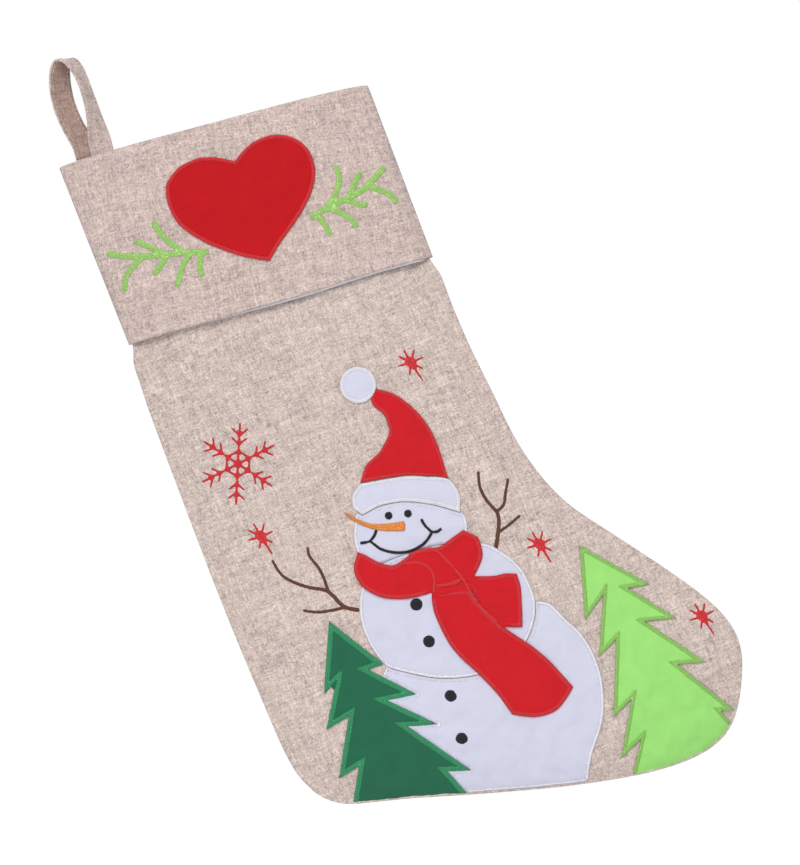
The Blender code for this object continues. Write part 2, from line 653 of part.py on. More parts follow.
def add_snowflake():
    """Six arms with two pairs of barbs each, and chevrons that link the arms."""
    centre = Vector(FLAKE_CENTRE)
    shape = []
    for arm in range(6):
        angle = FLAKE_ANGLE + 60 * arm
        way = Vector((math.cos(math.radians(angle)), math.sin(math.radians(angle))))
        shape.append(ray(centre, angle, -RAY_LAP, FLAKE_RADIUS, *FLAKE_ARM))
        for start, length in FLAKE_BARBS:
            for lean in (-FLAKE_LEAN, FLAKE_LEAN):
                shape.append(ray(centre + way * start, angle + lean, -RAY_LAP, length, *FLAKE_BARB))
        link = Vector((math.cos(math.radians(angle + 60)), math.sin(math.radians(angle + 60))))
        ends = centre + way * FLAKE_RING, centre + link * FLAKE_RING
        shape.append(stroke(ends, FLAKE_BARB[0], step=FLAKE_RING))
    slab("snowflake", RED_THREAD, shape, ON_LEG, THREAD)


def main():
    """Builds every piece in an empty scene."""
    for old in list(bpy.data.objects):
        bpy.data.objects.remove(old, do_unlink=True)
    inside = [inset(SEAM, FELT_INSET)]
    add_leg()
    add_cuff()
    add_loop()
    add_loop_ends()
    add_cuff_trim()
    add_trees(inside)
    add_snowman(inside)
    add_stars()
    add_snowflake()


main()
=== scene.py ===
"""The look of the appliqued Christmas stocking, laid over the part's own frame.

Lengths are in millimetres unless a name says otherwise: x towards the toe, y from the front to the
back and z up, from the point of the loop that rests on the hook.
"""

from __future__ import annotations

import json
import logging
import math
from dataclasses import dataclass, field
from enum import Enum

import bpy
import numpy as np
from mathutils import Matrix, Vector
from mathutils.bvhtree import BVHTree
from mathutils.geometry import delaunay_2d_cdt
from mathutils.kdtree import KDTree

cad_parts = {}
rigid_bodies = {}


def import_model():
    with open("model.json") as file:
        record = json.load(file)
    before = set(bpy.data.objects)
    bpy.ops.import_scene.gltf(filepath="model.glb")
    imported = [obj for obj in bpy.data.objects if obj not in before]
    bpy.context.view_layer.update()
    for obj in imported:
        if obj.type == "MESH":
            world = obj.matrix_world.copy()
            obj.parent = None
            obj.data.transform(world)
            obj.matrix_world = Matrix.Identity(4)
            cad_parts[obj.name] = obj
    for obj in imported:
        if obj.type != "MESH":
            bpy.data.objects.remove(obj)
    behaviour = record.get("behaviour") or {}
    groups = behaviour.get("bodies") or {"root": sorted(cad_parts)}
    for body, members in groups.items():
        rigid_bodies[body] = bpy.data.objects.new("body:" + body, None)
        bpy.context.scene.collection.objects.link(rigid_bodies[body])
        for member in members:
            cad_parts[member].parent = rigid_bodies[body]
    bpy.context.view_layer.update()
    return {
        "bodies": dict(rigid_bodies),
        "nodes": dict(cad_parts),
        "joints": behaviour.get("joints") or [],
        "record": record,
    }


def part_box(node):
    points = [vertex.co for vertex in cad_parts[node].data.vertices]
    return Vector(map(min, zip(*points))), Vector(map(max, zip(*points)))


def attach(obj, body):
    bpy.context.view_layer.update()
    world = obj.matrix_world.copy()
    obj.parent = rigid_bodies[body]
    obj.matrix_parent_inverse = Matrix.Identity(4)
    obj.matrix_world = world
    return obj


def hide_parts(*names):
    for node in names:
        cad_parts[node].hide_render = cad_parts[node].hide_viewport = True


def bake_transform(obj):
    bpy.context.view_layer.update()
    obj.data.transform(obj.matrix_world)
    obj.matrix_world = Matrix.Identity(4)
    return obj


LOG = logging.getLogger("stocking")

MM = 0.001
FAR_FRONT = -400.0  # rays start from well in front of the stocking
DYE = 0.84  # dyed cloth throws back this share of what its chart colour says
TINY = 1e-9
FACING = 0.3  # a face looks to one side where its normal has at least this share that way
MITRE = 0.35  # the least square of a corner, so that no tip runs far out
FOLDED = 0.4  # a point that ends nearer than this share of its move has folded over
ON_RIM = 0.05  # a net point this near the rim lies on it
ROW_HEIGHT = 0.866  # the height of an even triangle with sides of 1
NET_JITTER = 0.08
NET_CLEAR = 0.55
WHOLE = 0.9  # a net that fills less than this share of its outline has failed
LINING_CLOTH = 0.5
STITCH_BACK = 0.4
THREAD_SIDES = 6
RIB = 0.12  # how far a satin stitch stands over the dip beside it, as a share of its height

Points = np.ndarray
Faces = list


class Side(Enum):
    """Which half of the stocking a piece belongs to."""

    FRONT = -1
    BACK = 1


class Body(Enum):
    """The rigid bodies of the part."""

    STOCKING = "stocking"
    LOOP = "loop"


# Reading the part's solids.


@dataclass
class Solid:
    """One solid of the part, with its shared points merged."""

    name: str
    points: Points = field(init=False)
    triangles: Points = field(init=False)

    def __post_init__(self) -> None:
        """Reads the solid's mesh from the frame."""
        mesh = bpy.data.objects[self.name].data
        mesh.calc_loop_triangles()
        raw = np.array([v.co for v in mesh.vertices]) / MM
        rounded, index = np.unique(np.round(raw, 3), axis=0, return_inverse=True)
        self.points = rounded
        index = index.reshape(-1)
        triangles = np.array([t.vertices[:] for t in mesh.loop_triangles])
        self.triangles = index[triangles]

    def facing(self, side: Side) -> Points:
        """The triangles of the face turned to the front or to the back.

        Args:
            side: the front or the back.

        Returns:
            The triangles as rows of point indices.
        """
        a, b, c = (self.points[self.triangles[:, k]] for k in range(3))
        normal = np.cross(b - a, c - a)
        length = np.linalg.norm(normal, axis=1)
        share = normal[:, 1] * side.value / np.maximum(length, TINY)
        return self.triangles[share > FACING]

    def outlines(self, side: Side = Side.FRONT) -> list[Points]:
        """The closed outlines of the front or back face, as (x, z) points.

        Args:
            side: the front or the back.

        Returns:
            The loops, outer ones anticlockwise and holes clockwise.
        """
        triangles = self.facing(side)
        edges = {(int(t[k]), int(t[(k + 1) % 3])) for t in triangles for k in range(3)}
        onward: dict[int, list[int]] = {}
        for a, b in edges:
            if (b, a) not in edges:
                onward.setdefault(a, []).append(b)
        loops = []
        while onward:
            start = next(iter(onward))
            loop, at = [], start
            while at in onward:
                loop.append(at)
                following = onward[at].pop()
                if not onward[at]:
                    del onward[at]
                at = following
            if len(loop) > 2:
                loops.append(self.points[loop][:, [0, 2]])
        largest = max(loops, key=lambda p: abs(signed_area(p)))
        if signed_area(largest) < 0:
            loops = [p[::-1] for p in loops]
        return loops

    def depths(self, side: Side) -> "Surface":
        """The front or back face as a surface that depths are read from."""
        return Surface(self.points, [tuple(t) for t in self.facing(side)], side)


@dataclass
class Surface:
    """A face of cloth that other pieces lie on."""

    points: Points
    faces: Faces
    side: Side
    tree: BVHTree = field(init=False)

    def __post_init__(self) -> None:
        """Builds the search tree."""
        faces = [tuple(int(i) for i in f) for f in self.faces]
        self.tree = BVHTree.FromPolygons([Vector(p) for p in self.points], faces)

    def depth(self, x: float, z: float) -> float:
        """The depth y of the surface at (x, z), or of its nearest point beside it.

        Args:
            x: the place towards the toe.
            z: the place up.

        Returns:
            The depth, towards the back.
        """
        far = FAR_FRONT * -self.side.value
        way = Vector((0, -self.side.value, 0))
        hit = self.tree.ray_cast(Vector((x, far, z)), way)[0]
        if hit is None:
            hit = self.tree.find_nearest(Vector((x, 0, z)))[0]
        return hit.y

    def at(self, flat: Points) -> Points:
        """The depths of many (x, z) points."""
        return np.array([self.depth(float(x), float(z)) for x, z in flat])


# Flat outlines.


def signed_area(loop: Points) -> float:
    """The loop's area, positive where it runs anticlockwise."""
    after = np.roll(loop, -1, axis=0)
    return 0.5 * float((loop[:, 0] * after[:, 1] - after[:, 0] * loop[:, 1]).sum())


def between(p0: Points, p1: Points, p2: Points, p3: Points, t: float) -> Points:
    """A place on the smooth curve from p1 to p2, with p0 before them and p3 after.

    Args:
        p0: the point before the stretch.
        p1: its start.
        p2: its end.
        p3: the point after it.
        t: the share of the stretch, from 0 to 1.

    Returns:
        The place.
    """
    return 0.5 * (2 * p1 + (p2 - p0) * t + (2 * p0 - 5 * p1 + 4 * p2 - p3) * t ** 2
                  + (3 * p1 - p0 - 3 * p2 + p3) * t ** 3)


def smoothed(loop: Points, step: float, corner: float = 42.0) -> Points:
    """A finer loop through the same points, smooth but for its corners.

    Args:
        loop: the closed outline.
        step: the spacing of the new points.
        corner: a turn of more than this many degrees stays sharp.

    Returns:
        The new closed outline.
    """
    ahead = np.roll(loop, -1, axis=0) - loop
    heading = np.arctan2(ahead[:, 1], ahead[:, 0])
    turn = np.abs((heading - np.roll(heading, 1) + math.pi) % math.tau - math.pi)
    sharp = turn > math.radians(corner)
    count, found = len(loop), []
    for i in range(count):
        j = (i + 1) % count
        p1, p2 = loop[i], loop[j]
        p0 = p1 - (p2 - p1) if sharp[i] else loop[i - 1]
        p3 = p2 + (p2 - p1) if sharp[j] else loop[(i + 2) % count]
        pieces = max(1, round(float(np.linalg.norm(p2 - p1)) / step))
        for k in range(pieces):
            found.append(between(p0, p1, p2, p3, k / pieces))
    return np.array(found)


def grown(loop: Points, by: float) -> Points:
    """The outline moved outwards, less the points that fold over in its notches.

    Args:
        loop: an outer loop anticlockwise, or a hole clockwise.
        by: how far it moves.

    Returns:
        The new outline.
    """
    ahead = np.roll(loop, -1, axis=0) - loop
    ahead /= np.linalg.norm(ahead, axis=1)[:, None]
    normal = np.column_stack([ahead[:, 1], -ahead[:, 0]])
    before = np.roll(normal, 1, axis=0)
    square = 1 + (normal * before).sum(axis=1)
    moved = loop + (normal + before) * (by / np.maximum(square, MITRE))[:, None]
    apart = Rim([loop]).measured(moved)[0]
    kept = moved[apart > FOLDED * by]
    return kept if len(kept) > 3 else loop


def within(flat: Points, loop: Points) -> Points:
    """Which (x, z) points lie inside a closed outline.

    Args:
        flat: the points.
        loop: the outline.

    Returns:
        True for each point inside.
    """
    after = np.roll(loop, -1, axis=0)
    x, z = flat[:, 0, None], flat[:, 1, None]
    rise = after[:, 1] - loop[:, 1]
    crossed = (loop[:, 1] > z) != (after[:, 1] > z)
    reach = loop[:, 0] + (z - loop[:, 1]) * (after[:, 0] - loop[:, 0]) / np.where(rise == 0, 1.0, rise)
    return (crossed & (x < reach)).sum(axis=1) % 2 == 1


def eased(loop: Points, rounds: int = 2) -> Points:
    """The outline with its corners cut off a few times, so that they come out round.

    Args:
        loop: the closed outline.
        rounds: how many times.

    Returns:
        The rounder outline.
    """
    for _ in range(rounds):
        after = np.roll(loop, -1, axis=0)
        loop = np.stack([0.75 * loop + 0.25 * after, 0.25 * loop + 0.75 * after], axis=1).reshape(-1, 2)
    return loop


@dataclass
class Rim:
    """The whole rim of a flat piece, for distances from it and for places along it."""

    loops: list[Points]
    step: float = 0.25
    tree: KDTree = field(init=False)
    run: list[float] = field(init=False)

    def __post_init__(self) -> None:
        """Samples the loops finely."""
        places, self.run, total = [], [], 0.0
        for loop in self.loops:
            for a, b in zip(loop, np.roll(loop, -1, axis=0)):
                length = float(np.linalg.norm(b - a))
                pieces = max(1, math.ceil(length / self.step))
                for k in range(pieces):
                    places.append(a + (b - a) * k / pieces)
                    self.run.append(total + length * k / pieces)
                total += length
        self.tree = KDTree(len(places))
        for i, (x, z) in enumerate(places):
            self.tree.insert((x, z, 0), i)
        self.tree.balance()

    def measured(self, flat: Points) -> tuple[Points, Points]:
        """Each point's distance from the rim, and how far along the rim its nearest place is.

        Args:
            flat: the (x, z) points.

        Returns:
            The distances and the runs.
        """
        found = [self.tree.find((x, z, 0)) for x, z in flat]
        return np.array([f[2] for f in found]), np.array([self.run[f[1]] for f in found])

    def kept_in(self, flat: Points) -> Points:
        """The points, with those outside the first loop brought back onto the rim.

        Args:
            flat: the (x, z) points.

        Returns:
            A copy of them, none outside.
        """
        outside = ~within(flat, self.loops[0])
        flat = flat.copy()
        for i in np.flatnonzero(outside):
            flat[i] = self.tree.find((*flat[i], 0))[0][:2]
        return flat


def filled(loops: list[Points], step: float, seed: int = 0) -> tuple[Points, Faces]:
    """A triangle net inside the loops.

    Args:
        loops: outer loops anticlockwise, holes clockwise.
        step: the spacing of the net.
        seed: a number that fixes the small unevenness of the net.

    Returns:
        The (x, z) points and the triangles.
    """
    rim = Rim(loops, step=step / 2)
    corners = np.vstack(loops)
    low, high = corners.min(axis=0), corners.max(axis=0)
    rows = np.arange(low[1], high[1] + step, step * ROW_HEIGHT)
    columns = np.arange(low[0], high[0] + step, step)
    net = np.array([(c + step / 2 * (r % 2), z) for r, z in enumerate(rows) for c in columns])
    net = net + np.random.default_rng(seed).uniform(-NET_JITTER, NET_JITTER, net.shape) * step
    net = net[rim.measured(net)[0] > NET_CLEAR * step]
    points, faces, holes = [], [], []
    for loop in loops:
        holes.append(signed_area(loop) < 0)
        ordered = loop[::-1] if holes[-1] else loop
        faces.append(list(range(len(points), len(points) + len(ordered))))
        points += [Vector(p) for p in ordered]
    points += [Vector(p) for p in net]
    found, _, triangles, _, _, sources = delaunay_2d_cdt(points, [], faces, 1, 1e-4)
    kept = [t for t, source in zip(triangles, sources)
            if source and not any(holes[s] for s in source)]
    used, kept = compacted(kept)
    return np.array([found[i][:] for i in used]).reshape(-1, 2), kept


def compacted(faces: Faces) -> tuple[list[int], Faces]:
    """The points that some faces use.

    Args:
        faces: the faces, as rows of point indices.

    Returns:
        The indices in use, and the faces numbered by their places in that list.
    """
    used = sorted({i for f in faces for i in f})
    place = {i: k for k, i in enumerate(used)}
    return used, [tuple(place[i] for i in f) for f in faces]


def spread(flat: Points, faces: Faces) -> float:
    """The area of a flat net.

    Args:
        flat: its points.
        faces: its triangles.

    Returns:
        The area.
    """
    if not faces:
        return 0.0
    a, b, c = (flat[[f[k] for f in faces]] for k in range(3))
    return float(np.abs((b - a)[:, 0] * (c - a)[:, 1] - (b - a)[:, 1] * (c - a)[:, 0]).sum() / 2)


# Making objects.


def made(name: str, points: Points, faces: Faces, material: bpy.types.Material) -> bpy.types.Object:
    """A new smooth-shaded object from points in millimetres.

    Args:
        name: the object's name.
        points: its points.
        faces: its faces, as rows of point indices.
        material: its finish.

    Returns:
        The object, linked to the scene.
    """
    mesh = bpy.data.meshes.new(name)
    places = [tuple(p * MM) for p in np.asarray(points, float)]
    mesh.from_pydata(places, [], [list(map(int, f)) for f in faces])
    mesh.validate()
    mesh.shade_smooth()
    obj = bpy.data.objects.new(name, mesh)
    bpy.context.scene.collection.objects.link(obj)
    mesh.materials.append(material)
    return obj


def applied(obj: bpy.types.Object) -> bpy.types.Object:
    """The object with its modifiers made part of its mesh.

    Args:
        obj: the object.

    Returns:
        The same object.
    """
    graph = bpy.context.evaluated_depsgraph_get()
    graph.update()
    mesh = bpy.data.meshes.new_from_object(obj.evaluated_get(graph))
    obj.modifiers.clear()
    obj.data = mesh
    return obj


def refined(obj: bpy.types.Object) -> bpy.types.Object:
    """The object with each face divided once and its surface eased.

    Args:
        obj: the object.

    Returns:
        The same object.
    """
    finer = obj.modifiers.new("finer", "SUBSURF")
    finer.levels = finer.render_levels = 1
    return applied(obj)


def thickened(obj: bpy.types.Object, thickness: float) -> bpy.types.Object:
    """Gives a single-sided cloth its thickness, behind the face that is seen.

    Args:
        obj: the cloth.
        thickness: in millimetres.

    Returns:
        The same object.
    """
    body = obj.modifiers.new("thickness", "SOLIDIFY")
    body.thickness = thickness * MM
    body.offset = -1.0
    return applied(obj)


def tube_faces(rings: int, size: int) -> Faces:
    """The faces that join rings of points into a tube.

    Args:
        rings: how many rings there are.
        size: how many points each ring has.

    Returns:
        The faces, ring by ring.
    """
    return [(r * size + c, r * size + (c + 1) % size, (r + 1) * size + (c + 1) % size,
             (r + 1) * size + c) for r in range(rings - 1) for c in range(size)]


def strip_faces(rows: int, wide: int, first: int = 0) -> Faces:
    """The faces of an open grid of points.

    Args:
        rows: how many rows it has.
        wide: how many points each row has.
        first: the index of its first point.

    Returns:
        The faces, row by row.
    """
    return [(first + r * wide + c, first + r * wide + c + 1, first + (r + 1) * wide + c + 1,
             first + (r + 1) * wide + c) for r in range(rows - 1) for c in range(wide - 1)]


def with_runs(obj: bpy.types.Object, rows: Points) -> None:
    """Stores how far along its stitches, and how deep in them, each point lies.

    Args:
        obj: the stitches.
        rows: the run, the depth and a nought for each point.
    """
    stored = obj.data.attributes.new("stitch", "FLOAT_VECTOR", "POINT")
    stored.data.foreach_set("vector", np.asarray(rows).astype(np.float32).ravel())


def turned_out(points: Points, faces: Faces, side: Side) -> Faces:
    """The faces, wound so that they look to the front or to the back.

    Args:
        points: the cloth's points.
        faces: its faces, all wound the same way.
        side: where they should look.

    Returns:
        The faces, turned over where they have to be.
    """
    a, b, c = (points[[f[k] for f in faces]] for k in range(3))
    faced = np.cross(b - a, c - a)[:, 1].sum() * side.value > 0
    return faces if faced else [tuple(reversed(f)) for f in faces]


# Finishes.


@dataclass
class Graph:
    """A node tree that is being written."""

    tree: bpy.types.NodeTree

    def add(self, kind: str, **values: object) -> bpy.types.Node:
        """A new node. Values name its settings, or its inputs when they start with in_.

        Args:
            kind: the node's type.
            values: its settings and inputs.

        Returns:
            The node.
        """
        node = self.tree.nodes.new(kind)
        for key, value in values.items():
            if not key.startswith("in_"):
                setattr(node, key, value)
        for key, value in values.items():
            if key.startswith("in_"):
                name = key[3:].replace("_", " ")
                socket = node.inputs[int(name)] if name.isdigit() else node.inputs[name]
                self.put(value, socket)
        return node

    def put(self, value: object, socket: bpy.types.NodeSocket) -> None:
        """Links an output to the socket, or sets its value.

        Args:
            value: an output or a plain value.
            socket: the input it goes to.
        """
        if isinstance(value, bpy.types.NodeSocket):
            self.tree.links.new(value, socket)
        else:
            socket.default_value = value

    def maths(self, operation: str, *values: object) -> bpy.types.NodeSocket:
        """The result of a sum on values or outputs.

        Args:
            operation: the kind of sum.
            values: what goes in, in order.

        Returns:
            The sum's output.
        """
        node = self.add("ShaderNodeMath", operation=operation)
        for value, socket in zip(values, node.inputs):
            self.put(value, socket)
        return node.outputs[0]

    def noise(self, vector: bpy.types.NodeSocket, scale: float, detail: float = 2.0,
              roughness: float = 0.5) -> bpy.types.NodeSocket:
        """A noise value from 0 to 1.

        Args:
            vector: where it is read.
            scale: how fine it is.
            detail: how many finer layers it has.
            roughness: how strong they are.

        Returns:
            The noise's output.
        """
        return self.add("ShaderNodeTexNoise", in_Vector=vector, in_Scale=scale, in_Detail=detail,
                        in_Roughness=roughness).outputs[0]

    def stretched(self, vector: bpy.types.NodeSocket, scale: tuple[float, float, float],
                  turn: float = 0.0) -> bpy.types.NodeSocket:
        """Coordinates turned about y by some degrees and then scaled along each axis.

        Args:
            vector: the coordinates.
            scale: the scale along x, y and z.
            turn: the turn.

        Returns:
            The new coordinates.
        """
        turned = self.add("ShaderNodeMapping", in_Vector=vector,
                          in_Rotation=(0.0, math.radians(turn), 0.0)).outputs[0]
        return self.add("ShaderNodeMapping", in_Vector=turned, in_Scale=scale).outputs[0]


def new_group(name: str, inputs: dict[str, str], outputs: dict[str, str]) -> Graph:
    """A new shader node group with its named sockets.

    Args:
        name: the group's name.
        inputs: each input's name and kind.
        outputs: each output's name and kind.

    Returns:
        The group's tree, ready for its nodes.
    """
    tree = bpy.data.node_groups.new(name, "ShaderNodeTree")
    for way, sockets in (("INPUT", inputs), ("OUTPUT", outputs)):
        for label, kind in sockets.items():
            tree.interface.new_socket(label, in_out=way, socket_type=f"NodeSocket{kind}")
    return Graph(tree)


YARNS = ((0.2, 0.5, 1.25), (1.25, 0.5, 0.2))  # the yarns' unevenness: scales along x, y and z
SLUBS = ((0.055, 0.2, 0.42), (0.42, 0.2, 0.05))  # the longer, thicker stretches
SLUB_SHARE = 0.45
SPECK_SHARE = 1.6
CROSSING_SHARE = 0.10
SHADE_TOTAL = 4.5  # what the shares add up to


def weave_group() -> bpy.types.NodeTree:
    """Plain weave of uneven yarns: a shade for each yarn and the height of the crossings.

    Returns:
        The group.
    """
    graph = new_group("Plain weave", {"Grain": "Float", "Pitch": "Float"},
                      {"Shade": "Float", "Height": "Float"})
    start = graph.add("NodeGroupInput")
    end = graph.add("NodeGroupOutput")
    place = graph.add("ShaderNodeTexCoord").outputs["Object"]
    grain = graph.add("ShaderNodeVectorRotate", rotation_type="Y_AXIS", in_Vector=place)
    graph.put(start.outputs["Grain"], grain.inputs["Angle"])
    flat = graph.add("ShaderNodeMapping", in_Vector=grain.outputs[0],
                     in_Scale=(1 / MM, 0.25 / MM, 1 / MM)).outputs[0]
    drift = graph.add("ShaderNodeTexNoise", in_Vector=flat, in_Scale=0.11, in_Detail=1.0).outputs[1]
    eased = graph.add("ShaderNodeVectorMath", operation="SCALE", in_0=drift)
    eased.inputs["Scale"].default_value = 2.2
    moved = graph.add("ShaderNodeVectorMath", operation="ADD", in_0=flat, in_1=eased.outputs[0]).outputs[0]
    parts = graph.add("ShaderNodeSeparateXYZ", in_Vector=moved)
    waves = []
    for axis in ("X", "Z"):
        turns = graph.maths("DIVIDE", parts.outputs[axis], start.outputs["Pitch"])
        waves.append(graph.maths("SINE", graph.maths("MULTIPLY", turns, math.tau)))
    crossing = graph.maths("MULTIPLY", waves[0], waves[1])
    yarns = [graph.noise(graph.stretched(moved, scale), 1.0, 2.5, 0.62)
             for scale in YARNS]
    slubs = [graph.noise(graph.stretched(moved, scale), 1.0, 1.0)
             for scale in SLUBS]
    fine = graph.noise(moved, 0.95, 2.0, 0.75)
    total = graph.maths("ADD", graph.maths("ADD", yarns[0], yarns[1]),
                        graph.maths("MULTIPLY", graph.maths("ADD", slubs[0], slubs[1]), SLUB_SHARE))
    total = graph.maths("ADD", total, graph.maths("MULTIPLY", fine, SPECK_SHARE))
    total = graph.maths("ADD", total, graph.maths("MULTIPLY", crossing, CROSSING_SHARE))
    graph.put(graph.maths("MULTIPLY", total, 1 / SHADE_TOTAL), end.inputs["Shade"])
    height = graph.maths("ADD", graph.maths("MULTIPLY", crossing, 0.5), total)
    graph.put(height, end.inputs["Height"])
    return graph.tree


def fuzz_group() -> bpy.types.NodeTree:
    """Pressed felt: matted fibres and faint cloudy shade.

    Returns:
        The group.
    """
    graph = new_group("Felt fibres", {}, {"Shade": "Float", "Height": "Float"})
    end = graph.add("NodeGroupOutput")
    place = graph.add("ShaderNodeTexCoord").outputs["Object"]
    flat = graph.add("ShaderNodeMapping", in_Vector=place, in_Scale=(1 / MM,) * 3).outputs[0]
    cloud = graph.noise(flat, 0.09, 2.0)
    fibres = graph.noise(flat, 1.3, 5.0, 0.72)
    strands = graph.noise(graph.stretched(flat, (0.5, 0.5, 2.4), 35), 1.0, 3.0, 0.6)
    shade = graph.maths("ADD", graph.maths("MULTIPLY", cloud, 0.4),
                        graph.maths("MULTIPLY", graph.maths("ADD", fibres, strands), 0.3))
    graph.put(shade, end.inputs["Shade"])
    graph.put(graph.maths("ADD", fibres, strands), end.inputs["Height"])
    return graph.tree


def satin_group() -> bpy.types.NodeTree:
    """Satin stitches that run across a band, from the places stored along it.

    Returns:
        The group.
    """
    graph = new_group("Satin stitches", {"Pitch": "Float"}, {"Shade": "Float", "Height": "Float"})
    start = graph.add("NodeGroupInput")
    end = graph.add("NodeGroupOutput")
    stored = graph.add("ShaderNodeAttribute", attribute_name="stitch").outputs["Vector"]
    parts = graph.add("ShaderNodeSeparateXYZ", in_Vector=stored)
    run, depth = parts.outputs["X"], parts.outputs["Y"]
    turns = graph.maths("DIVIDE", run, start.outputs["Pitch"])
    ridge = graph.maths("SINE", graph.maths("MULTIPLY", turns, math.tau))
    lines = graph.add("ShaderNodeCombineXYZ")
    graph.put(graph.maths("MULTIPLY", run, 2.2), lines.inputs["X"])
    graph.put(graph.maths("MULTIPLY", depth, 0.25), lines.inputs["Y"])
    threads = graph.noise(lines.outputs[0], 1.0, 2.0, 0.6)
    shade = graph.maths("ADD", graph.maths("MULTIPLY", ridge, 0.16), threads)
    graph.put(shade, end.inputs["Shade"])
    graph.put(graph.maths("ADD", ridge, threads), end.inputs["Height"])
    return graph.tree


def linear(colour: tuple[int, int, int], factor: float = 1.0) -> tuple[float, float, float, float]:
    """A shop-chart colour, 0 to 255, as linear light scaled by a factor and by the dye's own share.

    Args:
        colour: red, green and blue.
        factor: how much lighter or darker it is.

    Returns:
        Red, green, blue and full cover, from 0 to 1.
    """
    shares = [c / 255 for c in colour]
    light = [s / 12.92 if s <= 0.04045 else ((s + 0.055) / 1.055) ** 2.4 for s in shares]
    return (*(min(1.0, v * factor * DYE) for v in light), 1.0)


@dataclass(frozen=True)
class Finish:
    """What all the cloth, felt and thread finishes share."""

    slot: str
    colour: tuple[int, int, int]
    contrast: float = 0.2
    roughness: float = 0.9
    sheen: float = 0.2
    bump: float = 0.3
    bump_depth: float = 0.15
    tone: str = ""

    def group(self) -> tuple[str, dict[str, float]]:
        """The name of the shared node group and its settings."""
        raise NotImplementedError

    def material(self) -> bpy.types.Material:
        """The finish as a material, made once.

        Returns:
            The material.
        """
        name = " ".join([self.slot, self.tone, "finish"])
        known = bpy.data.materials.get(name)
        if known:
            return known
        material = bpy.data.materials.new(name)
        material.use_nodes = True
        graph = Graph(material.node_tree)
        shader = material.node_tree.nodes["Principled BSDF"]
        name, settings = self.group()
        effect = graph.add("ShaderNodeGroup", node_tree=bpy.data.node_groups[name])
        for key, value in settings.items():
            effect.inputs[key].default_value = value
        ramp = graph.add("ShaderNodeMapRange", in_Value=effect.outputs["Shade"])
        ramp.inputs["From Min"].default_value = 0.3
        ramp.inputs["From Max"].default_value = 0.7
        ramp.clamp = False
        mix = graph.add("ShaderNodeMix", data_type="RGBA", in_0=ramp.outputs[0],
                        in_6=linear(self.colour, 1 - self.contrast),
                        in_7=linear(self.colour, 1 + self.contrast))
        bump = graph.add("ShaderNodeBump", in_Height=effect.outputs["Height"],
                         in_Strength=self.bump, in_Distance=self.bump_depth * MM)
        graph.put(mix.outputs[2], shader.inputs["Base Color"])
        graph.put(bump.outputs[0], shader.inputs["Normal"])
        shader.inputs["Roughness"].default_value = self.roughness
        shader.inputs["Sheen Weight"].default_value = self.sheen
        shader.inputs["Sheen Roughness"].default_value = 0.5
        shader.inputs["Specular IOR Level"].default_value = 0.25
        return material


@dataclass(frozen=True)
class Linen(Finish):
    """Linen cloth, with its grain's turn in degrees and the spacing of its yarns."""

    grain: float = 0.0
    pitch: float = 0.9
    bump: float = 0.55
    bump_depth: float = 0.35

    def group(self) -> tuple[str, dict[str, float]]:
        """The weave, turned to this cloth's grain."""
        return "Plain weave", {"Grain": math.radians(self.grain), "Pitch": self.pitch}


@dataclass(frozen=True)
class Felt(Finish):
    """Pressed felt."""

    contrast: float = 0.09
    roughness: float = 0.95
    sheen: float = 0.08

    def group(self) -> tuple[str, dict[str, float]]:
        """The matted fibres."""
        return "Felt fibres", {}


@dataclass(frozen=True)
class Thread(Finish):
    """Embroidery thread, laid in satin stitches."""

    contrast: float = 0.22
    roughness: float = 0.5
    sheen: float = 0.1
    bump: float = 0.6
    bump_depth: float = 0.2
    pitch: float = 0.9

    def group(self) -> tuple[str, dict[str, float]]:
        """The stitches, at this thread's pitch."""
        return "Satin stitches", {"Pitch": self.pitch}


LEG_LINEN = Linen("linen", (211, 192, 184), contrast=0.86, grain=8.0)
CUFF_LINEN = Linen("cuff_linen", (207, 187, 180), contrast=0.84, pitch=0.8)
# a darker copy of the cuff linen for the strap's flat face turned towards the loop's middle: painted shade
STRAP_PAINTED_SHADE = Linen("cuff_linen", (172, 146, 135), contrast=0.8, pitch=0.8, tone="inside")
PALE_LINING = Linen("pale_lining", (222, 221, 233), contrast=0.05, pitch=0.5, bump=0.2)
RED_FELT = Felt("red_felt", (201, 22, 33))
# a darker copy of the red felt for the heart on the cuff: painted shade against the stronger light that
# falls there
HEART_PAINTED_SHADE_FELT = Felt("red_felt", (187, 12, 22), tone="heart")
WHITE_FELT = Felt("white_felt", (208, 208, 227), contrast=0.04)
DARK_FELT = Felt("dark_green_felt", (34, 101, 74), contrast=0.1)
LIGHT_FELT = Felt("light_green_felt", (155, 221, 118))
RED_THREAD = Thread("red_thread", (214, 45, 52))
WHITE_THREAD = Thread("white_thread", (238, 236, 244), contrast=0.1)
DARK_THREAD = Thread("dark_green_thread", (49, 146, 98))
LIGHT_THREAD = Thread("light_green_thread", (150, 203, 104))
SPRIG_THREAD = Thread("light_green_thread", (160, 207, 112), tone="sprig")
BROWN_THREAD = Thread("brown_thread", (101, 63, 47))
BLACK_THREAD = Thread("black_thread", (28, 30, 38))
ORANGE_THREAD = Thread("orange_thread", (237, 142, 64))


# The scarf's stitched folds: both edges of the long tail carried up through the knot, as shares of
# the neck band's width and height.
SCARF_FOLDS = (
    ((0.39, 0.61), (0.50, 0.56), (0.57, 0.41), (0.58, 0.21), (0.55, 0.0)),
    ((0.44, 0.74), (0.55, 0.75), (0.64, 0.71), (0.72, 0.45), (0.80, 0.07), (0.85, -0.35), (0.97, -0.80)),
    ((0.58, 0.10), (0.68, 0.07), (0.80, 0.10)),
)
# The felt that runs on from the band into the long tail, as shares of the tail's own box.
SCARF_TURN = (((0.03, 0.995), (0.20, 0.985), (0.38, 0.975)),)


# Cloth.


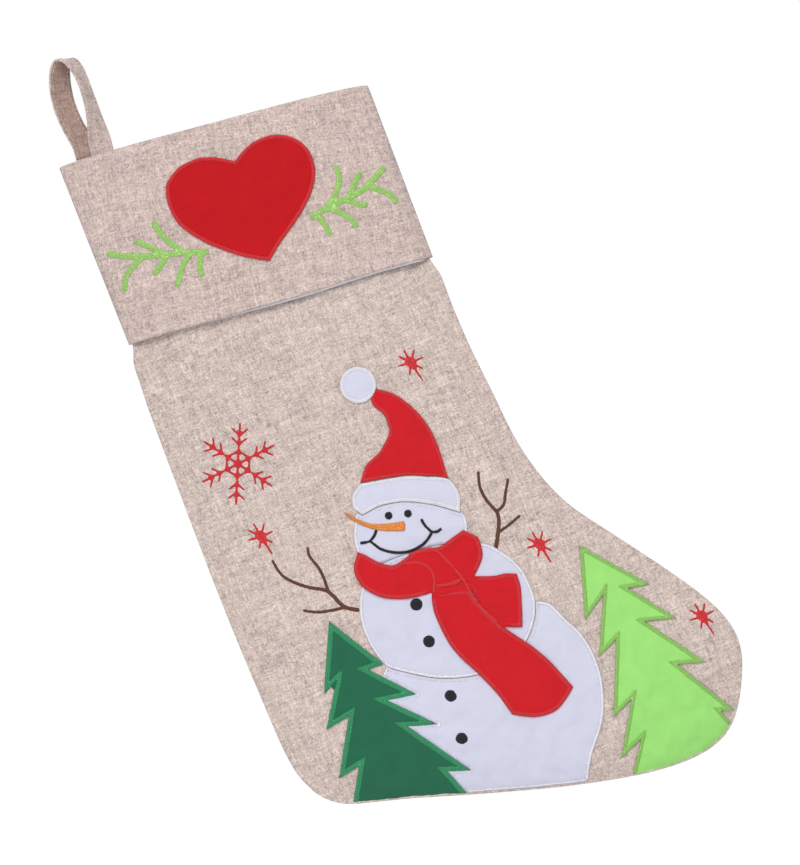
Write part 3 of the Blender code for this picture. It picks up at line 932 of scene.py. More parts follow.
@dataclass(frozen=True)
class Settling:
    """How a cloth is left to settle between its held edges."""

    frames: int = 18
    slack: float = 0.008
    push: float = 0.5
    mass: float = 0.002
    stretch: float = 12.0
    bend: float = 0.02

    def run(self, name: str, points: Points, faces: Faces, held: list[int]) -> Points:
        """Settles a cloth.

        Args:
            name: a name for the cloth while it moves.
            points: where it starts, in millimetres.
            faces: its faces, turned outwards.
            held: the points that are sewn down.

        Returns:
            Where its points come to rest.
        """
        obj = made(name, points, faces, bpy.data.materials[0])
        group = obj.vertex_groups.new(name="held")
        group.add([int(i) for i in held], 1.0, "REPLACE")
        cloth = obj.modifiers.new("cloth", "CLOTH")
        rules = cloth.settings
        rules.quality = 6
        rules.mass = self.mass
        rules.tension_stiffness = rules.compression_stiffness = self.stretch
        rules.shear_stiffness = self.stretch / 2
        rules.bending_stiffness = self.bend
        rules.air_damping = 4.0
        rules.use_pressure = True
        rules.uniform_pressure_force = self.push
        rules.vertex_group_mass = "held"
        rules.shrink_min = -self.slack
        rules.effector_weights.gravity = 0.0
        cloth.point_cache.frame_start = 1
        cloth.point_cache.frame_end = self.frames
        scene = bpy.context.scene
        for frame in range(1, self.frames + 1):
            scene.frame_set(frame)
        graph = bpy.context.evaluated_depsgraph_get()
        settled = obj.evaluated_get(graph).to_mesh()
        found = np.array([v.co for v in settled.vertices]) / MM
        bpy.data.objects.remove(obj, do_unlink=True)
        scene.frame_set(1)
        return found


def evened(values: Points, faces: Faces, fixed: Points, rounds: int) -> Points:
    """Values on a net, averaged with their neighbours a few times but for the fixed ones.

    Args:
        values: one for each point.
        faces: the net's faces.
        fixed: true where a value stays.
        rounds: how many times.

    Returns:
        The evened values.
    """
    edges = np.array([(f[k], f[(k + 1) % len(f)]) for f in faces for k in range(len(f))])
    for _ in range(rounds):
        total, count = np.zeros_like(values), np.zeros(len(values))
        np.add.at(total, edges[:, 0], values[edges[:, 1]])
        np.add.at(total, edges[:, 1], values[edges[:, 0]])
        np.add.at(count, edges[:, 0], 1)
        np.add.at(count, edges[:, 1], 1)
        mean = total / np.maximum(count, 1)
        values = np.where(fixed, values, 0.5 * values + 0.5 * mean)
    return values


@dataclass(frozen=True)
class Groove:
    """A soft fold pressed into the cloth.

    start and end are places on the cuff's face, as shares of its width and of its height.
    """

    start: tuple[float, float]
    end: tuple[float, float]
    width: float
    depth: float

    def press(self, points: Points, middle: float) -> Points:
        """The front of the cloth with the fold pressed towards the middle.

        Args:
            points: the cloth's points.
            middle: the depth of the stocking's middle.

        Returns:
            The pressed points.
        """
        low, high = (np.array([p.x, p.z]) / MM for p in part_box("cuff_front"))
        a, b = (low + (high - low) * np.array(p) for p in (self.start, self.end))
        flat, way = points[:, [0, 2]], b - a
        share = np.clip(((flat - a) @ way) / (way @ way), 0, 1)
        apart = np.linalg.norm(flat - a - share[:, None] * way, axis=1)
        sink = self.depth * np.exp(-(apart / self.width) ** 2) * (1 - share) ** 0.7
        room = np.maximum(middle - points[:, 1] - 0.5, 0)
        points = points.copy()
        points[:, 1] += np.minimum(sink, room)
        return points


@dataclass
class Leg:
    """The padded leg: front and back panels joined at the side seams, and their lining."""

    middle: float
    step: float = 4.0
    panel: float = 1.2
    lining_gap: float = 2.2
    lining_least: float = 0.4
    mouth_band: float = 1.5
    evening: int = 30
    rumple: float = 0.12
    settling: Settling = Settling()
    gathers: tuple[Groove, ...] = (
        Groove((0.19, 0.02), (0.21, -0.12), 2.6, 2.2),
        Groove((0.62, 0.05), (0.60, -0.10), 9.0, 1.6),
        Groove((0.93, 0.04), (0.90, -0.12), 3.4, 2.4),
        Groove((0.12, -0.02), (0.16, -0.20), 3.0, 1.0),
    )
    front: Surface = field(init=False)
    back: Surface = field(init=False)
    rim: Rim = field(init=False)

    def build(self) -> None:
        """Makes the panels and the lining."""
        outline = smoothed(Solid("front_panel").outlines()[0], self.step)
        self.rim = Rim([outline])
        flat, faces = filled([outline], self.step, seed=3)
        inside, _ = self.rim.measured(flat)
        edge = inside < ON_RIM
        top = flat[:, 1].max()
        mouth = edge & (flat[:, 1] > top - self.mouth_band)
        seam = edge & ~mouth
        sides = [Solid("front_panel").depths(Side.FRONT), Solid("back_panel").depths(Side.BACK)]
        depth = [np.where(seam, self.middle, s.at(flat)) for s in sides]
        depth = [evened(d, faces, edge, self.evening) for d in depth]
        count = len(flat)
        index = np.where(seam, np.arange(count), np.arange(count) + count)
        points = np.vstack([np.column_stack([flat[:, 0], d, flat[:, 1]]) for d in depth])
        front_faces = turned_out(points, faces, Side.FRONT)
        back_faces = [tuple(int(index[i]) for i in f) for f in turned_out(points, faces, Side.BACK)]
        back_faces = turned_out(points, back_faces, Side.BACK)
        held = list(np.flatnonzero(edge)) + list(np.flatnonzero(mouth) + count)
        rough = np.random.default_rng(11).normal(0, self.rumple, len(points))
        rough[np.isin(np.arange(len(points)), held)] = 0
        points[:, 1] += rough
        points = self.settling.run("leg while settling", points, front_faces + back_faces, held)
        for groove in self.gathers:
            points = groove.press(points, self.middle)
        LOG.info("leg depth %.1f to %.1f", points[:, 1].min(), points[:, 1].max())
        self.front = self.panel_of("leg_front_cloth", points, front_faces, Side.FRONT, "front_panel")
        self.back = self.panel_of("leg_back_cloth", points, back_faces, Side.BACK, "back_panel")
        self.line(Side.FRONT, self.front, "front_lining")
        self.line(Side.BACK, self.back, "back_lining")

    def panel_of(self, name: str, points: Points, faces: Faces, side: Side, node: str) -> Surface:
        """One panel as its own cloth, and the surface that later pieces lie on.

        Args:
            name: the cloth's name.
            points: the points of both panels.
            faces: this panel's faces.
            side: the front or the back.
            node: the solid it stands for.

        Returns:
            The panel's outer face.
        """
        used, faces = compacted(faces)
        obj = refined(made(name, points[used], faces, LEG_LINEN.material()))
        surface = surface_of(obj, side)
        thickened(obj, self.panel)
        dress(obj, Body.STOCKING, LEG_LINEN, node)
        return surface

    def line(self, side: Side, surface: Surface, node: str) -> None:
        """One side of the lining, a little inside the panel.

        Args:
            side: the front or the back.
            surface: the panel's outer face.
            node: the solid it stands for.
        """
        outline = smoothed(Solid(node).outlines(side)[0], 2 * self.step)
        flat, faces = filled([outline], 1.5 * self.step)
        out = np.abs(surface.at(flat) - self.middle) - self.lining_gap
        depth = self.middle + side.value * np.maximum(out, self.lining_least)
        points = np.column_stack([flat[:, 0], depth, flat[:, 1]])
        obj = made(node + "_cloth", points, turned_out(points, faces, side), PALE_LINING.material())
        thickened(obj, LINING_CLOTH)
        dress(obj, Body.STOCKING, PALE_LINING, node)


def surface_of(obj: bpy.types.Object, side: Side) -> Surface:
    """The surface of a single-sided object.

    Args:
        obj: the object.
        side: where it looks.

    Returns:
        Its surface.
    """
    points = np.array([v.co for v in obj.data.vertices]) / MM
    return Surface(points, [tuple(p.vertices) for p in obj.data.polygons], side)


def dress(obj: bpy.types.Object, body: Body, finish: Finish, *nodes: str) -> None:
    """Puts a piece on its body and hides the solids it takes the place of.

    Args:
        obj: the piece.
        body: the body it rides on.
        finish: not used.
        nodes: the solids it takes the place of.
    """
    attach(obj, body.value)
    if nodes:
        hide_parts(*nodes)


@dataclass
class Cuff:
    """The turned-down cuff, with its fold at the mouth, its hem and its facing."""

    leg: Leg
    columns: int = 60
    rows: int = 34
    cloth: float = 0.9
    facing_drop: float = 1.1
    shown_from: float = 0.2
    shown_run: float = 0.3
    roll: float = 1.6
    inside_run: float = 14.0
    draw_in: float = 0.04
    clear: float = 2.0
    flare: float = 2.4
    flare_run: float = 22.0
    hem_drop: float = 80.0
    hem_band: float = 6.0
    evening: int = 12
    seam_room: float = 3.0
    least: float = 0.5
    creases: tuple[Groove, ...] = (
        Groove((0.03, 0.42), (0.20, 0.43), 1.8, 1.3),
        Groove((0.97, 0.30), (0.80, 0.27), 2.2, 0.9),
        Groove((0.50, 0.12), (0.66, 0.20), 3.0, 0.8),
        Groove((0.20, 0.75), (0.36, 0.70), 4.0, 0.7),
    )
    settling: Settling = Settling(frames=14, slack=0.005, push=0.3)
    front: Surface = field(init=False)
    ring_size: int = field(init=False)

    def build(self) -> None:
        """Makes the cuff and its facing."""
        outline = Solid("cuff_front").outlines()[0]
        top = outline[:, 1].max()
        upper = outline[outline[:, 1] > top - 0.01]
        lower = outline[outline[:, 1] < top - self.hem_drop]
        left_top, right_top = upper[upper[:, 0].argmin()], upper[upper[:, 0].argmax()]
        lower = lower[lower[:, 0].argsort()]
        hem_left, hem_right = lower[0], lower[-1]
        below = outline[outline[:, 1] < hem_left[1] + self.hem_band]
        below = below[below[:, 0].argsort()]
        across = np.linspace(0, 1, self.columns + 1)
        up = np.linspace(0, 1, self.rows + 1)
        hem_x = hem_left[0] + (hem_right[0] - hem_left[0]) * across
        hem_z = np.interp(hem_x, below[:, 0], below[:, 1])
        top_x = left_top[0] + (right_top[0] - left_top[0]) * across
        x = hem_x[None] + (top_x - hem_x)[None] * up[:, None]
        z = hem_z[None] + (top - hem_z)[None] * up[:, None]
        grids = [self.side_grid(x, z, Side.FRONT, across), self.side_grid(x, z, Side.BACK, across)]
        points, faces, held = self.tube(grids)
        points = self.settling.run("cuff while settling", points, faces, held)
        for groove in self.creases:
            points = groove.press(points, self.leg.middle)
        points = self.outside_leg(points)
        self.finish(points)
        self.make_facing(points)

    def side_grid(self, x: Points, z: Points, side: Side, across: Points) -> Points:
        """One side of the cuff as rows of points, from the hem up to the fold.

        Args:
            x: each point's place across.
            z: each point's place up.
            side: the front or the back.
            across: each column's share of the width.

        Returns:
            The points, as rows by columns by coordinates.
        """
        node = "cuff_front" if side is Side.FRONT else "cuff_back"
        depth = Solid(node).depths(side).at(np.column_stack([x.ravel(), z.ravel()])).reshape(x.shape)
        for _ in range(self.evening):
            inner = depth.copy()
            inner[:, 1:-1] = (depth[:, :-2] + 2 * depth[:, 1:-1] + depth[:, 2:]) / 4
            inner[1:-1] = (inner[:-2] + 2 * inner[1:-1] + inner[2:]) / 4
            depth = inner
        out = (depth - self.leg.middle) * side.value
        closed = np.clip(np.minimum(across, 1 - across) * x.shape[1] / 3, 0, 1)[None]
        out = out * np.sqrt(closed)
        above = z - z[0]
        out = out + self.flare * np.clip(1 - above / self.flare_run, 0, 1) ** 2 * closed
        return np.stack([x, self.leg.middle + side.value * out, z], axis=-1)

    def tube(self, grids: list[Points]) -> tuple[Points, Faces, list[int]]:
        """Joins the two sides at their seams.

        Args:
            grids: the front's and the back's points.

        Returns:
            The points, the faces and the points that are sewn down.
        """
        rows, columns = self.rows + 1, self.columns + 1
        ring = [np.vstack([grids[0][r], grids[1][r][-2:0:-1]]) for r in range(rows)]
        size = len(ring[0])
        points = np.vstack(ring)
        faces = tube_faces(rows, size)
        seams = [r * size + c for r in range(rows) for c in (0, columns - 1)]
        ends = [r * size + c for r in (0, rows - 1) for c in range(size)]
        self.ring_size = size
        return points, faces, sorted(set(seams + ends))

    def outside_leg(self, points: Points) -> Points:
        """Keeps the cuff clear of the leg's own cloth.

        Args:
            points: the cuff's points.

        Returns:
            The same points, moved out where they were too close.
        """
        for point in points:
            front = point[1] <= self.leg.middle
            surface = self.leg.front if front else self.leg.back
            side = -1 if front else 1
            if self.leg.rim.measured(point[None, [0, 2]])[0][0] < self.seam_room:
                continue
            under = surface.depth(point[0], point[2])
            if (point[1] - under) * side < self.clear:
                point[1] = under + side * self.clear
        return points

    def finish(self, points: Points) -> None:
        """Adds the roll at the fold and the run down the inside, then the cloth's thickness.

        Args:
            points: the cuff's points, from the hem up.
        """
        size = self.ring_size
        last = points[-size:]
        centre = last[:, 0].mean()
        reach = np.abs(last[:, 0] - centre) / np.ptp(last[:, 0]) * 2
        rise = np.sqrt(np.clip(1 - reach ** 8, 0, 1))
        out = last[:, 1] - self.leg.middle
        rings = [points]
        for turn in np.radians((45, 90, 135, 180)):
            share = (1 - math.cos(turn)) * self.roll
            ring = last.copy()
            ring[:, 1] = self.leg.middle + np.sign(out) * np.maximum(np.abs(out) - share, self.least)
            ring[:, 2] += math.sin(turn) * 0.5 * self.roll * rise
            ring[:, 0] += (centre - ring[:, 0]) * self.draw_in * (1 - math.cos(turn)) / 2
            rings.append(ring)
        for down in (0.35, 1.0):
            ring = rings[4].copy()
            ring[:, 2] -= down * self.inside_run
            rings.append(ring)
        whole = np.vstack(rings)
        total = len(whole) // size
        obj = refined(made("cuff_cloth", whole, tube_faces(total, size), CUFF_LINEN.material()))
        self.front = surface_of(obj, Side.FRONT)
        thickened(obj, self.cloth)
        dress(obj, Body.STOCKING, CUFF_LINEN, "cuff_front", "cuff_back")

    def make_facing(self, points: Points) -> None:
        """The pale facing behind the cuff, that stands out a little under the hem.

        Args:
            points: the cuff's points, from the hem up.
        """
        size, columns = self.ring_size, self.columns + 1
        grid = points.reshape(-1, size, 3)
        for side, node in ((Side.FRONT, "cuff_facing_front"), (Side.BACK, "cuff_facing_back")):
            part = grid[:, :columns] if side is Side.FRONT else np.concatenate(
                [grid[:, columns - 1:], grid[:, :1]], axis=1)
            part = part[:-2, 2:-2].copy()
            out = np.abs(part[..., 1] - self.leg.middle)
            part[..., 1] = self.leg.middle + side.value * (out - self.cloth - 0.1)
            along = (part[0, :, 0] - grid[0, :, 0].min()) / np.ptp(grid[0, :, 0])
            shown = np.clip((along - self.shown_from) / self.shown_run, 0, 1)
            part[0, :, 2] -= self.facing_drop * shown
            rows, wide = part.shape[:2]
            flat = part.reshape(-1, 3)
            faces = turned_out(flat, strip_faces(rows, wide), side)
            obj = made(node + "_cloth", flat, faces, PALE_LINING.material())
            thickened(obj, LINING_CLOTH)
            dress(obj, Body.STOCKING, PALE_LINING, node)


# Felt and stitches.


@dataclass
class Layer:
    """A cloth surface raised by what already lies on it."""

    surface: Surface
    lift: float = 0.0
    seam_run: float = 4.0
    seam_share: float = 0.2

    def at(self, flat: Points, rim: Rim | None = None) -> Points:
        """Depths at the points, sinking back to the cloth near a side seam.

        Args:
            flat: the (x, z) points.
            rim: the leg's seam, or nothing where the layer keeps its height.

        Returns:
            The depths.
        """
        depth = self.surface.at(flat)
        lift = np.full(len(flat), self.lift)
        if rim is not None:
            lift = lift * np.clip(rim.measured(flat)[0] / self.seam_run, self.seam_share, 1)
        return depth - lift


@dataclass
class Patch:
    """One piece of felt with the satin stitches round it.

    border names the solid of its stitched border; without one the stitches run along the felt's own
    edge. meets names the solids that cover or join its edge, where there are no stitches. grow carries
    the felt out under its border, and over carries the border out over what lies beside it.
    """

    node: str
    felt: Finish
    thread: Finish
    border: bool = True
    meets: tuple[str, ...] = ()
    grow: float = 1.5
    over: float = 0.0
    clear: float = 1.7
    thickness: float = 0.9
    step: float = 1.7
    puff: float = 0.35
    rumple: float = 1.2
    puff_run: float = 5.0

    def build(self, layer: Layer, seam: Rim | None = None) -> None:
        """Lays the felt on a layer and stitches round it.

        Args:
            layer: what it lies on.
            seam: the leg's seam, where the piece reaches it.
        """
        cut = Solid(self.node).outlines()
        wide = [grown(p, self.grow) for p in cut]
        wide = [seam.kept_in(p) for p in wide] if seam is not None else wide
        loops = [smoothed(p, self.step) for p in wide]
        flat, faces = filled(loops, self.step, seed=len(self.node))
        if spread(flat, faces) < WHOLE * sum(signed_area(p) for p in loops):
            LOG.warning("%s keeps its own outline", self.node)
            loops = [smoothed(p, self.step) for p in cut]
            flat, faces = filled(loops, self.step, seed=len(self.node))
        inside, _ = Rim(loops).measured(flat)
        cloud = np.random.default_rng(len(self.node) + 5).normal(0, 1, len(flat))
        cloud = evened(cloud, faces, np.zeros(len(flat), bool), 10)
        inner = np.clip((inside - self.grow - 1.0) / self.puff_run, 0, 1)
        puff = (self.puff + self.rumple * cloud) * inner
        raised = Layer(layer.surface, layer.lift + self.thickness)
        points = np.column_stack([flat[:, 0], raised.at(flat, seam) - puff, flat[:, 1]])
        obj = made(f"{self.node}_felt", points, turned_out(points, faces, Side.FRONT),
                   self.felt.material())
        thickened(obj, self.thickness)
        dress(obj, Body.STOCKING, self.felt, self.node)
        edge = f"{self.node}_border" if self.border else self.node
        Stitching(edge, self.thread, ring=not self.border, meets=self.meets, clear=self.clear,
                  grow=self.over).build(raised, seam)


@dataclass
class Stitching:
    """A shape filled with satin stitches, or a band of them along a piece's own edge."""

    node: str
    thread: Finish
    width: float = 2.0
    ring: bool = False
    meets: tuple[str, ...] = ()
    clear: float = 1.7
    grow: float = 0.0
    rounds: int = 0
    high: float = 0.7
    step: float = 0.55
    pitch: float = 1.1
    uneven: float = 0.12

    def outline(self, grow: float) -> list[Points]:
        """The loops of the stitched shape, with the small unevenness of its edge.

        Args:
            grow: how far it is carried out.

        Returns:
            The closed outlines.
        """
        loops = []
        for loop in Solid(self.node).outlines():
            loop = grown(loop, grow) if grow and signed_area(loop) > 0 else loop
            loop = eased(loop, self.rounds) if self.rounds else loop
            loop = smoothed(loop, self.step)
            rough = np.random.default_rng(len(loop)).uniform(-1, 1, loop.shape) * self.uneven
            loops.append(loop + rough)
        return loops

    def build(self, layer: Layer, seam: Rim | None = None) -> None:
        """Stitches the shape onto a layer.

        Args:
            layer: what it lies on.
            seam: the leg's seam, where the shape reaches it.
        """
        loops = self.outline(self.grow)
        flat, faces = filled(loops, self.step, seed=1)
        if spread(flat, faces) < WHOLE * sum(signed_area(p) for p in loops):
            LOG.warning("the stitches of %s keep their own outline", self.node)
            loops = self.outline(0.0)
            flat, faces = filled(loops, self.step, seed=1)
        rim = Rim(loops)
        inside, run = rim.measured(flat)
        keep = np.ones(len(flat), bool)
        if self.ring:
            keep &= inside < self.width
            if seam is not None:
                keep &= seam.measured(flat)[0] > self.clear
        if self.meets:
            near = Rim([loop for node in self.meets for loop in Solid(node).outlines()])
            keep &= near.measured(flat)[0] > self.clear
        faces = [f for f in faces if all(keep[i] for i in f)]
        used, faces = compacted(faces)
        flat, inside, run = flat[used], inside[used], run[used]
        half = self.width / 2 if self.ring else max(0.6, float(np.percentile(inside, 96)))
        arch = np.sqrt(np.clip(1 - (1 - np.clip(inside / half, 0, 2)) ** 2, 0.0, 1))
        bumps = np.random.default_rng(7).normal(0, 0.06, len(flat))
        ribs = RIB * np.cos(math.tau * run / self.pitch)
        depth = layer.at(flat, seam) - self.high * arch * (1 + ribs + bumps) + 0.12
        points = np.column_stack([flat[:, 0], depth, flat[:, 1]])
        name = f"{self.node}_edge" if self.ring else f"{self.node}_stitches"
        obj = made(name, points, turned_out(points, faces, Side.FRONT), self.thread.material())
        with_runs(obj, np.column_stack([run, inside, 0 * run]))
        thickened(obj, STITCH_BACK)
        dress(obj, Body.STOCKING, self.thread, *([] if self.ring else [self.node]))


@dataclass
class Line:
    """Rows of satin stitches along open routes of (x, z) points."""

    routes: tuple[tuple[tuple[float, float], ...], ...]
    thread: Finish
    width: float = 1.7
    high: float = 0.6
    step: float = 0.55
    pitch: float = 1.1

    def build(self, name: str, layer: Layer) -> None:
        """Stitches every route onto a layer.

        Args:
            name: the stitches' name.
            layer: what they lie on.
        """
        points, faces, stored = [], [], []
        for route in self.routes:
            path = open_curve(np.array(route, float), self.step)
            along = np.gradient(path, axis=0)
            along /= np.linalg.norm(along, axis=1)[:, None]
            across = np.column_stack([-along[:, 1], along[:, 0]])
            first, shares = len(points), np.linspace(-1, 1, 7)
            for i, (at, side) in enumerate(zip(path, across)):
                rib = 1 + RIB * math.cos(math.tau * i * self.step / self.pitch)
                places = at + side * shares[:, None] * self.width / 2
                depth = layer.at(places) - self.high * np.sqrt(1 - 0.98 * shares ** 2) * rib
                points += list(np.column_stack([places[:, 0], depth, places[:, 1]]))
                stored += [(i * self.step, abs(t), 0) for t in shares]
            faces += strip_faces(len(path), len(shares), first)
        points = np.array(points)
        obj = made(name, points, turned_out(points, faces, Side.FRONT), self.thread.material())
        with_runs(obj, stored)
        thickened(obj, STITCH_BACK)
        dress(obj, Body.STOCKING, self.thread)


def open_curve(route: Points, step: float) -> Points:
    """A smooth open line through the points, with even steps.

    Args:
        route: the points.
        step: the spacing of the new points.

    Returns:
        The new points.
    """
    found = []
    for i in range(len(route) - 1):
        p0, p1, p2, p3 = (route[min(max(i + k, 0), len(route) - 1)] for k in (-1, 0, 1, 2))
        pieces = max(1, round(float(np.linalg.norm(p2 - p1)) / step))
        for k in range(pieces):
            found.append(between(p0, p1, p2, p3, k / pieces))
    return np.array([*found, route[-1]])


def placed(routes: tuple, node: str) -> tuple:
    """Routes given as shares of a solid's width and height, as (x, z) points.

    Args:
        routes: the routes.
        node: the solid.

    Returns:
        The routes in millimetres.
    """
    low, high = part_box(node)
    return tuple(tuple(((low.x + (high.x - low.x) * a) / MM, (low.z + (high.z - low.z) * b) / MM)
                       for a, b in route) for route in routes)


@dataclass
class CuffTrim:
    """The heart and the two leafy sprigs on the cuff."""

    layer: Layer

    def build(self) -> None:
        """Makes the heart and the sprigs."""
        # the heart takes the darker red felt: painted shade
        Patch("heart", HEART_PAINTED_SHADE_FELT, RED_THREAD).build(self.layer)
        for node in ("left_sprig", "right_sprig"):
            Stitching(node, SPRIG_THREAD, high=0.9, grow=0.2, rounds=2).build(self.layer)


@dataclass
class Trees:
    """The two fir trees."""

    layer: Layer
    seam: Rim

    def build(self) -> None:
        """Makes both trees."""
        raised = Layer(self.layer.surface, self.layer.lift + 0.3)
        Patch("dark_tree", DARK_FELT, DARK_THREAD, over=0.45).build(raised, self.seam)
        Patch("light_tree", LIGHT_FELT, LIGHT_THREAD).build(raised, self.seam)


@dataclass
class Snowman:
    """The felt snowman with its stitched face, buttons and twig arms."""

    layer: Layer
    seam: Rim
    felt: float = 1.0

    def build(self) -> None:
        """Makes the snowman from the body up to the scarf and the face."""
        white = {"felt": WHITE_FELT, "thread": WHITE_THREAD}
        covers = {
            "snowman_belly": ("snowman_chest", "dark_tree_border", "light_tree_border"),
            "snowman_chest": ("snowman_head", "dark_tree_border"),
            "snowman_head": ("snowman_chest", "hat_brim_border"),
        }
        for node, meets in covers.items():
            Patch(node, border=False, meets=meets, grow=0.0, **white).build(self.layer, self.seam)
        for node in ("pompom", "hat_brim"):
            Patch(node, **white).build(self.layer)
        Patch("hat", RED_FELT, RED_THREAD).build(self.layer)
        upper = Layer(self.layer.surface, self.layer.lift + self.felt + 0.5)
        joins = {
            "scarf_long_tail": ("scarf_band_border",),
            "scarf_short_tail": ("scarf_band_border", "scarf_long_tail_border"),
            "scarf_band": ("scarf_long_tail_border", "scarf_short_tail_border"),
        }
        for node, meets in joins.items():
            Patch(node, RED_FELT, RED_THREAD, meets=meets, grow=3.1, clear=3.4).build(upper)
        turn = Line(placed(SCARF_TURN, "scarf_long_tail_border"), RED_FELT, width=6.0, high=0.35)
        turn.build("scarf_turn_felt", Layer(upper.surface, upper.lift + 0.75))
        folds = Line(placed(SCARF_FOLDS, "scarf_band_border"), RED_THREAD)
        folds.build("scarf_fold_stitches", Layer(upper.surface, upper.lift + 1.0))
        dots = ["left_eye", "right_eye", *(f"button_{n}" for n in range(1, 5))]
        for node in dots:
            Stitching(node, BLACK_THREAD, high=0.8, grow=0.2).build(upper)
        Stitching("mouth", BLACK_THREAD).build(upper)
        Stitching("nose", ORANGE_THREAD, high=0.9, grow=0.2, rounds=2).build(
            Layer(self.layer.surface, upper.lift + 0.4))
        for node in ("left_arm", "right_arm"):
            Stitching(node, BROWN_THREAD, grow=0.15, rounds=1).build(self.layer)


@dataclass
class Sky:
    """The stars and the snowflake stitched on the leg."""

    layer: Layer

    def build(self) -> None:
        """Makes the stars and the snowflake."""
        for node in ("star_upper", "star_heel", "star_instep", "star_toe", "snowflake"):
            Stitching(node, RED_THREAD, rounds=1).build(self.layer)


def thread_faces(first: int) -> Faces:
    """The faces between one ring of a thread and the next.

    Args:
        first: the index of the first ring's first point.

    Returns:
        The faces round the thread.
    """
    size = THREAD_SIDES
    return [(first + t, first + (t + 1) % size, first + size + (t + 1) % size, first + size + t)
            for t in range(size)]


def straightness(a: Points, b: Points) -> float:
    """The cosine of the turn from one direction to another."""
    return float(a @ b) / float(np.linalg.norm(a) * np.linalg.norm(b))


